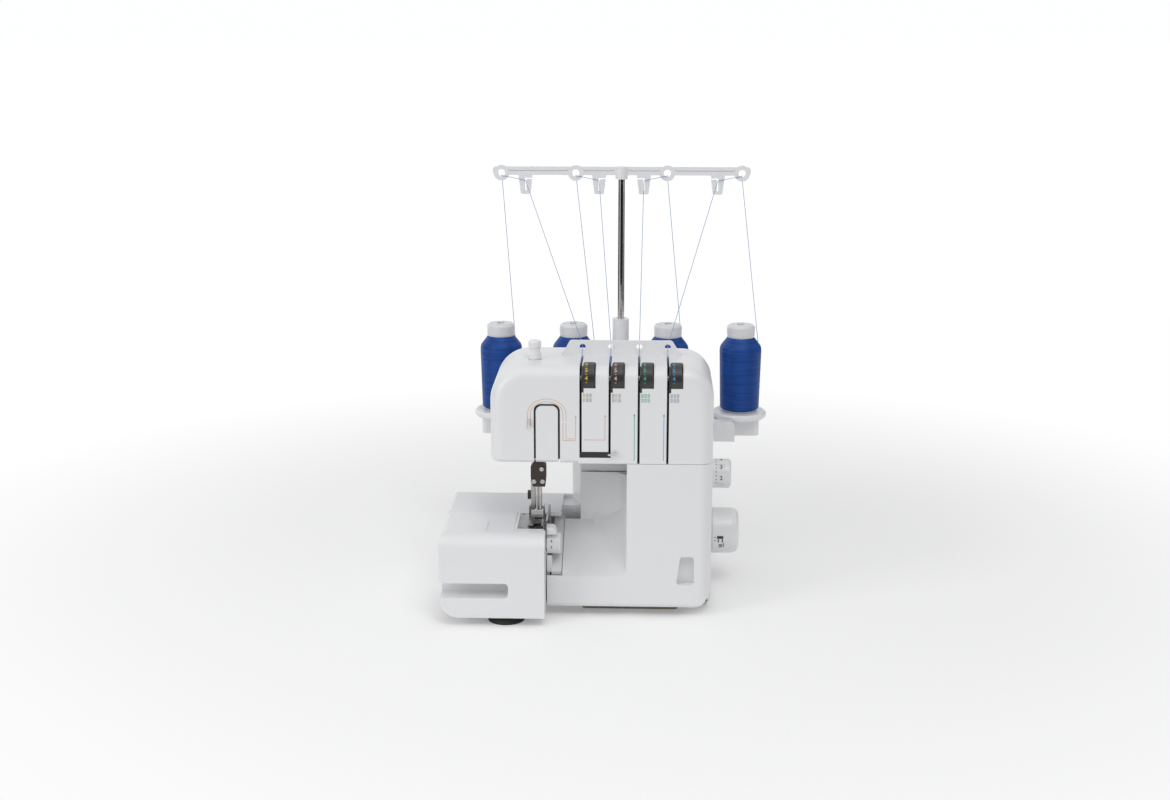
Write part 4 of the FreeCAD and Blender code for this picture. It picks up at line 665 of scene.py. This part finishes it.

# a dark ribbon in the arch gap: painted shade in the gap
archGapShade = {"left": -75.6, "right": -50.4, "top": 214.7, "low": 160.0, "y": -103.4, "thick": 0.8,
               "wide": 2.6, "inset": 0.6, "corner": 8.0}
left, right = archGapShade["left"], archGapShade["right"]
inset, corner = archGapShade["inset"], archGapShade["corner"]
bend = corner - inset
centreZ = archGapShade["top"] - corner
line = [(left + inset, archGapShade["low"])] + arcLine(left + corner, centreZ, bend, bend, 180, 90, 6)
line += arcLine(right - corner, centreZ, bend, bend, 90, 0, 6) + [(right - inset, archGapShade["low"])]
addShapes("archGapShade", [ribbon(line, archGapShade["wide"], archGapShade["y"], archGapShade["thick"])],
          finishes["dark_plastic"], "machine")

# a dark plate in the exit window: painted shade behind the window
exitWindowShade = {"x": (-31.7, -1.7), "y": (-106.07, -105.0), "z": (161.75, 167.65)}
addShapes("exitWindowShade", [extrudeX(boxLine(*exitWindowShade["y"], *exitWindowShade["z"]), *exitWindowShade["x"])],
          finishes["dark_plastic"], "machine")
print("channels made")

# dark lip between each slot and its drum window
windowLip = {"x": (0.9, 2.9), "low": 226.3, "face": -106.06, "centre": (-93.0, 237.0), "radius": 13.06,
             "thick": 0.1, "bend": (0, 80, 10)}
curves = []
for inset in (0.0, windowLip["thick"]):
    radius = windowLip["radius"] - inset
    bend = arcLine(*windowLip["centre"], -radius, radius, *windowLip["bend"])
    curves.append([(windowLip["face"] + inset, windowLip["low"])] + bend)
parts = []
for slot in threadPath["slotX"]:
    low, high = (slot + x for x in windowLip["x"])
    parts.append(sweepRows([[(low, *a), (high, *a), (high, *b), (low, *b)] for a, b in zip(*curves)]))
addShapes("windowLips", parts, finishes["dial_black"], "machine")


# white guard over the knives and the lip beside the width dial
def roundedY(outline, y0, y1, bevel):
    middle = sum((Vector(spot) for spot in outline), Vector((0.0, 0.0))) / len(outline)
    rows = []
    for y, inset in ((y0, bevel), (y0 + bevel * 0.3, bevel * 0.3), (y0 + bevel, 0.0), (y1, 0.0)):
        row = [Vector(spot) + (middle - Vector(spot)).normalized() * inset * 1.3 for spot in outline]
        rows.append([(spot.x, y, spot.y) for spot in row])
    return sweepRows(rows)


knifeGuard = {"x": (-64.2, -54.4), "z": (81.2, 88.8), "y": (-101.0, -88.0), "round": 5.0, "bevel": 1.4}
sideLip = {"x": (-64.1, -59.0), "z": (41.4, 58.6), "y": (-97.5, -94.0), "bevel": 0.8}
(x0, x1), (z0, z1), bend = knifeGuard["x"], knifeGuard["z"], knifeGuard["round"]
outline = [(x0, z0), (x1, z0)] + arcLine(x1 - bend, z1 - bend, bend, bend, 0, 90, 8) + [(x0, z1)]
addShapes("knifeGuard", [roundedY(outline, *knifeGuard["y"], knifeGuard["bevel"]),
                         roundedY(boxLine(*sideLip["x"], *sideLip["z"]), *sideLip["y"], sideLip["bevel"])],
          finishes["white_shell"], "machine")

# moulded skin of the free arm behind the table: top, left side and back
armSkin = {"left": -166.0, "inner": -160.05, "right": -52.0, "column": -43.3, "front": -54.68,
           "back": (8.05, 10.0), "low": 18.0, "under": 86.05, "top": 90.0, "round": 3.5}
left, right, top, bend = armSkin["left"], armSkin["right"], armSkin["top"], armSkin["round"]
shoulder = [(left, armSkin["low"])] + arcLine(left + bend, top - bend, bend, bend, 180, 90, 5)
cover = shoulder + [(right, top), (right, armSkin["under"]), (armSkin["inner"], armSkin["under"]),
                    (armSkin["inner"], armSkin["low"])]
rear = shoulder + [(armSkin["column"], top), (armSkin["column"], armSkin["low"])]
addShapes("armSkin", [extrudeY(cover, armSkin["front"], armSkin["back"][0]),
                      extrudeY(rear, *armSkin["back"])],
          finishes["white_shell"], "machine")

# edge of the table's left wall that laps up to the arm skin
tableLap = {"y": (-61.02, -55.0),
            "outline": ((-163.4, 82.05), (-166.0, 82.05), (-165.9, 24.0), (-165.0, 20.0), (-163.4, 17.0))}
addShapes("tableLap", [extrudeY(tableLap["outline"], *tableLap["y"])], finishes["white_shell"], "sub_table")

# soft concave corners of the cover's scoop: floor to right wall, floor to back wall, back to right wall
scoopCorners = {"wall": 14.0, "back": -40.0, "left": -19.6, "front": -105.6, "floor": 78.0, "fall": 0.5606,
                "top": 127.2, "side": (34.0, 7.0), "rear": 15.0, "upright": 13.0, "sink": 0.35, "below": 1.0,
                "steps": 14, "rows": 12, "crease": 40}


# an arc that touches both walls of a corner, closed behind the walls
def hollowCorner(corner, along, up, radius):
    corner, along, up = Vector(corner), Vector(along).normalized(), Vector(up).normalized()
    half = along.angle(up) / 2
    span, steps, deep = math.pi - 2 * half, scoopCorners["steps"], scoopCorners["sink"]
    centre = corner + (along + up).normalized() * radius / math.sin(half)
    first, last = corner + along * radius / math.tan(half), corner + up * radius / math.tan(half)
    line = []
    for share in (k / steps for k in range(steps + 1)):
        lead = (first - centre) * math.sin((1 - share) * span) + (last - centre) * math.sin(share * span)
        line.append(centre + lead / math.sin(span))
    return line + [last - along * deep, corner - (along + up) * deep, first - up * deep]


wall, back, floorZ, fall = (scoopCorners[key] for key in ("wall", "back", "floor", "fall"))
widest, narrowest = scoopCorners["side"]
sideRows = []
for share in (r / scoopCorners["rows"] for r in range(scoopCorners["rows"] + 1)):
    y = back + (scoopCorners["front"] - back) * share
    line = hollowCorner((wall, floorZ + (y - back) * fall), (-1, 0), (0, 1),
                        narrowest + (widest - narrowest) * (1 - share))
    sideRows.append([(a, y, b) for a, b in line])
rearLine = hollowCorner((back, floorZ), (-1, -fall), (0, 1), scoopCorners["rear"])
uprightLine = hollowCorner((wall, back), (-1, 0), (0, -1), scoopCorners["upright"])
corners = meshOf("scoopCorners", joinParts([
    sweepRows(sideRows), extrudeX(rearLine, scoopCorners["left"], wall + scoopCorners["sink"]),
    extrudeZ(uprightLine, floorZ - scoopCorners["below"], scoopCorners["top"])]), True)
corners.set_sharp_from_angle(angle=math.radians(scoopCorners["crease"]))
addPiece(corners, finishes["white_shell"], "front_cover")
print("mouldings made")

# small fittings: strip trim and plate screws, and painted shade for the bar groove, the cap holes, the pole
# hole, the screw slits and the face slit
stripTrim = {"x": (-29.4, 64.4), "y": (-85.05, -84.99), "z": (0.4, 1.6)}
addShapes("stripTrim", [extrudeY(boxLine(*stripTrim["x"], *stripTrim["z"]), *stripTrim["y"])], inks["tan"],
          "machine")

# a grey line with hooked ends along the thread pole: painted shade in its groove
barGrooveShade = {"y": 105.46, "z": 413.6, "runs": ((-112.0, -53.5), (-33.5, -5.0), (14.0, 42.5), (62.5, 121.0)),
             "wide": 0.7, "hook": (2.0, 0.9)}
out, up = barGrooveShade["hook"]
z = barGrooveShade["z"]
parts = [ribbon([(x0 - out, z + up), (x0, z), (x1, z), (x1 + out, z + up)], barGrooveShade["wide"], barGrooveShade["y"])
         for x0, x1 in barGrooveShade["runs"]]
addShapes("barGrooveShade", parts, inks["hollowShade"], "thread_pole")

# grey discs where the holes in the spool caps are: painted shade inside the holes
capHoleShades = {"count": 6, "ring": 9.4, "start": 18.0, "radius": 0.9, "sides": 10, "z": (250.46, 250.52)}
parts = []
for spool in threadPath["spoolX"]:
    ring, start, radius = capHoleShades["ring"], capHoleShades["start"], capHoleShades["radius"]
    spots = arcLine(spool, threadPath["standY"], ring, ring, start, start + 360, capHoleShades["count"])[:-1]
    for x, y in spots:
        parts.append(extrudeZ(ringLine(x, y, radius, radius, capHoleShades["sides"]), *capHoleShades["z"]))
addShapes("capHoleShades", parts, inks["hollowShade"], "machine")

# a dark oval on the thread pole: painted shade inside the hole
poleHoleShade = {"x": 5.4, "y": (104.37, 104.62), "z": 400.6, "size": (1.2, 1.56), "sides": 14}
outline = ringLine(poleHoleShade["x"], poleHoleShade["z"], *poleHoleShade["size"], poleHoleShade["sides"])
addShapes("poleHoleShade", [extrudeY(outline, *poleHoleShade["y"])], inks["dark"], "thread_pole")

plateScrews = {"spots": ((-89.2, -104.6), (-89.2, -61.4)), "radius": 1.7, "sides": 20, "z": (89.9, 90.4),
               "slit": (1.3, 0.25), "slitZ": (90.36, 90.42)}
parts, slits = [], []
long, thin = plateScrews["slit"]
for x, y in plateScrews["spots"]:
    parts.append(extrudeZ(ringLine(x, y, plateScrews["radius"], plateScrews["radius"], plateScrews["sides"]),
                          *plateScrews["z"]))
    slits.append(extrudeZ(boxLine(x - long, x + long, y - thin, y + thin), *plateScrews["slitZ"]))
addShapes("plateScrews", parts, finishes["chrome_steel"], "machine")
# the dark slits are painted shade in the screw heads' slots
addShapes("plateScrewSlitShades", slits, inks["dark"], "machine")

# a grey slit on the head's face: painted shade inside the thread guide's slot
faceSlitShade = {"line": ((-80.2, 193.4), (-80.2, 199.2)), "wide": 0.9}
addShapes("faceSlitShade", [ribbon(faceSlitShade["line"], faceSlitShade["wide"])], inks["grey"], "machine")
print("small fittings made")

# floor and soft studio light
studio = {
    "half": 15000, "drop": -0.0003, "floor": 0.84, "glow": 0.20, "near": 0.32, "far": 1.0, "bounce": 0.5,
    "sky": (0.60, 0.52), "skyColour": (0.99, 0.995, 1.0, 1),
    "lamps": {
        "keyLamp": {"place": (0.62, -1.45, 2.1), "aim": (0.0, -0.05, 0.12), "size": (0.8, 0.8), "watts": 9.0},
        "fillLamp": {"place": (-1.65, -1.2, 1.0), "aim": (0.0, 0.0, 0.12), "size": (0.9, 1.2), "watts": 10.0},
        "topLamp": {"place": (-0.2, -0.75, 2.3), "aim": (0.0, -0.05, 0.1), "size": (1.6, 1.2), "watts": 4.0},
    },
}
half = studio["half"]
ground = meshOf("studioFloor", bar(2 * half, 2 * half))
floor = bpy.data.objects.new("studioFloor", ground)
floor.location = (0.0, 0.0, studio["drop"])
scene.collection.objects.link(floor)
paper = bpy.data.materials.new("studioPaper")
paper.use_nodes = True
tree = paper.node_tree
shader = tree.nodes["Principled BSDF"]
setSockets(shader, {"Roughness": 0.9, "Specular IOR Level": 0.1})
place = addNode(tree, "ShaderNodeTexCoord")
reach = addNode(tree, "ShaderNodeVectorMath", operation="LENGTH")
fade = addNode(tree, "ShaderNodeMapRange", interpolation_type="SMOOTHSTEP")
setSockets(fade, {"From Min": studio["near"], "From Max": studio["far"]})
paint = addNode(tree, "ShaderNodeMix", data_type="RGBA")
paint.inputs[6].default_value = (studio["floor"], studio["floor"], studio["floor"], 1)
paint.inputs[7].default_value = (0, 0, 0, 1)
glow = addNode(tree, "ShaderNodeMix", data_type="RGBA")
glow.inputs[6].default_value = (studio["glow"], studio["glow"], studio["glow"], 1)
glow.inputs[7].default_value = (1, 1, 1, 1)
wire(tree, (place.outputs["Object"], reach.inputs[0]), (reach.outputs["Value"], fade.inputs["Value"]),
     (fade.outputs["Result"], paint.inputs[0]), (fade.outputs["Result"], glow.inputs[0]),
     (paint.outputs[2], shader.inputs["Base Color"]), (glow.outputs[2], shader.inputs["Emission Color"]))


# white to the eye, to metal and to glass; softer as a light on the object
def seenWhite(tree, quiet):
    seen = addNode(tree, "ShaderNodeLightPath")
    metalToo = addNode(tree, "ShaderNodeMath", operation="MAXIMUM")
    glassToo = addNode(tree, "ShaderNodeMath", operation="MAXIMUM")
    power = addNode(tree, "ShaderNodeMix", data_type="FLOAT")
    power.inputs[2].default_value = quiet
    power.inputs[3].default_value = 1.0
    wire(tree, (seen.outputs["Is Camera Ray"], metalToo.inputs[0]),
         (seen.outputs["Is Glossy Ray"], metalToo.inputs[1]), (metalToo.outputs[0], glassToo.inputs[0]),
         (seen.outputs["Is Transmission Ray"], glassToo.inputs[1]), (glassToo.outputs[0], power.inputs[0]))
    return power


power = seenWhite(tree, studio["bounce"])
wire(tree, (power.outputs[0], shader.inputs["Emission Strength"]))
ground.materials.append(paper)

world = bpy.data.worlds.new("studioSky")
scene.world = world
world.use_nodes = True
tree = world.node_tree
sky = tree.nodes["Background"]
sky.inputs["Color"].default_value = studio["skyColour"]
power = seenWhite(tree, studio["sky"][0])
place = addNode(tree, "ShaderNodeTexCoord")
parts = addNode(tree, "ShaderNodeSeparateXYZ")
rise = addNode(tree, "ShaderNodeMapRange")
setSockets(rise, {"To Min": studio["sky"][0], "To Max": studio["sky"][1]})
wire(tree, (place.outputs["Generated"], parts.inputs[0]), (parts.outputs["Z"], rise.inputs["Value"]),
     (rise.outputs["Result"], power.inputs[2]), (power.outputs[0], sky.inputs["Strength"]))

for name, look in studio["lamps"].items():
    lamp = bpy.data.objects.new(name, bpy.data.lights.new(name, "AREA"))
    lamp.data.shape = "RECTANGLE"
    lamp.data.size, lamp.data.size_y = look["size"]
    lamp.data.energy = look["watts"]
    turnTo(lamp, look["place"], look["aim"])

# black cards beside the camera, seen only in polished metal
darkCards = {"spans": ((-34.0, 70.0), (-112.0, -56.0), (84.0, 150.0)), "steps": 12, "away": 1250.0,
             "centreY": 108.0, "z": (20.0, 1100.0)}
cardPaper = finish("cardPaper", mouldSkin, {
    "Colour": (0.012, 0.012, 0.012), "Shade": (0.02, 0.018, 0.016),
    "Smooth": 0.9, "Dull": 1.0, "Grain": 300.0})
parts = []
for start, end in darkCards["spans"]:
    steps, away = darkCards["steps"], darkCards["away"]
    line = arcLine(0.0, darkCards["centreY"], away, away, start - 90, end - 90, steps)
    parts.append(([(x, y, z) for x, y in line for z in darkCards["z"]],
                  [(2 * k, 2 * k + 1, 2 * k + 3, 2 * k + 2) for k in range(steps)]))
cards = bpy.data.objects.new("darkCards", meshOf("darkCards", joinParts(parts)))
cards.data.materials.append(cardPaper)
scene.collection.objects.link(cards)
cards.visible_camera = False
cards.visible_diffuse = False
cards.visible_shadow = False
cards.visible_transmission = False
print("studio made")
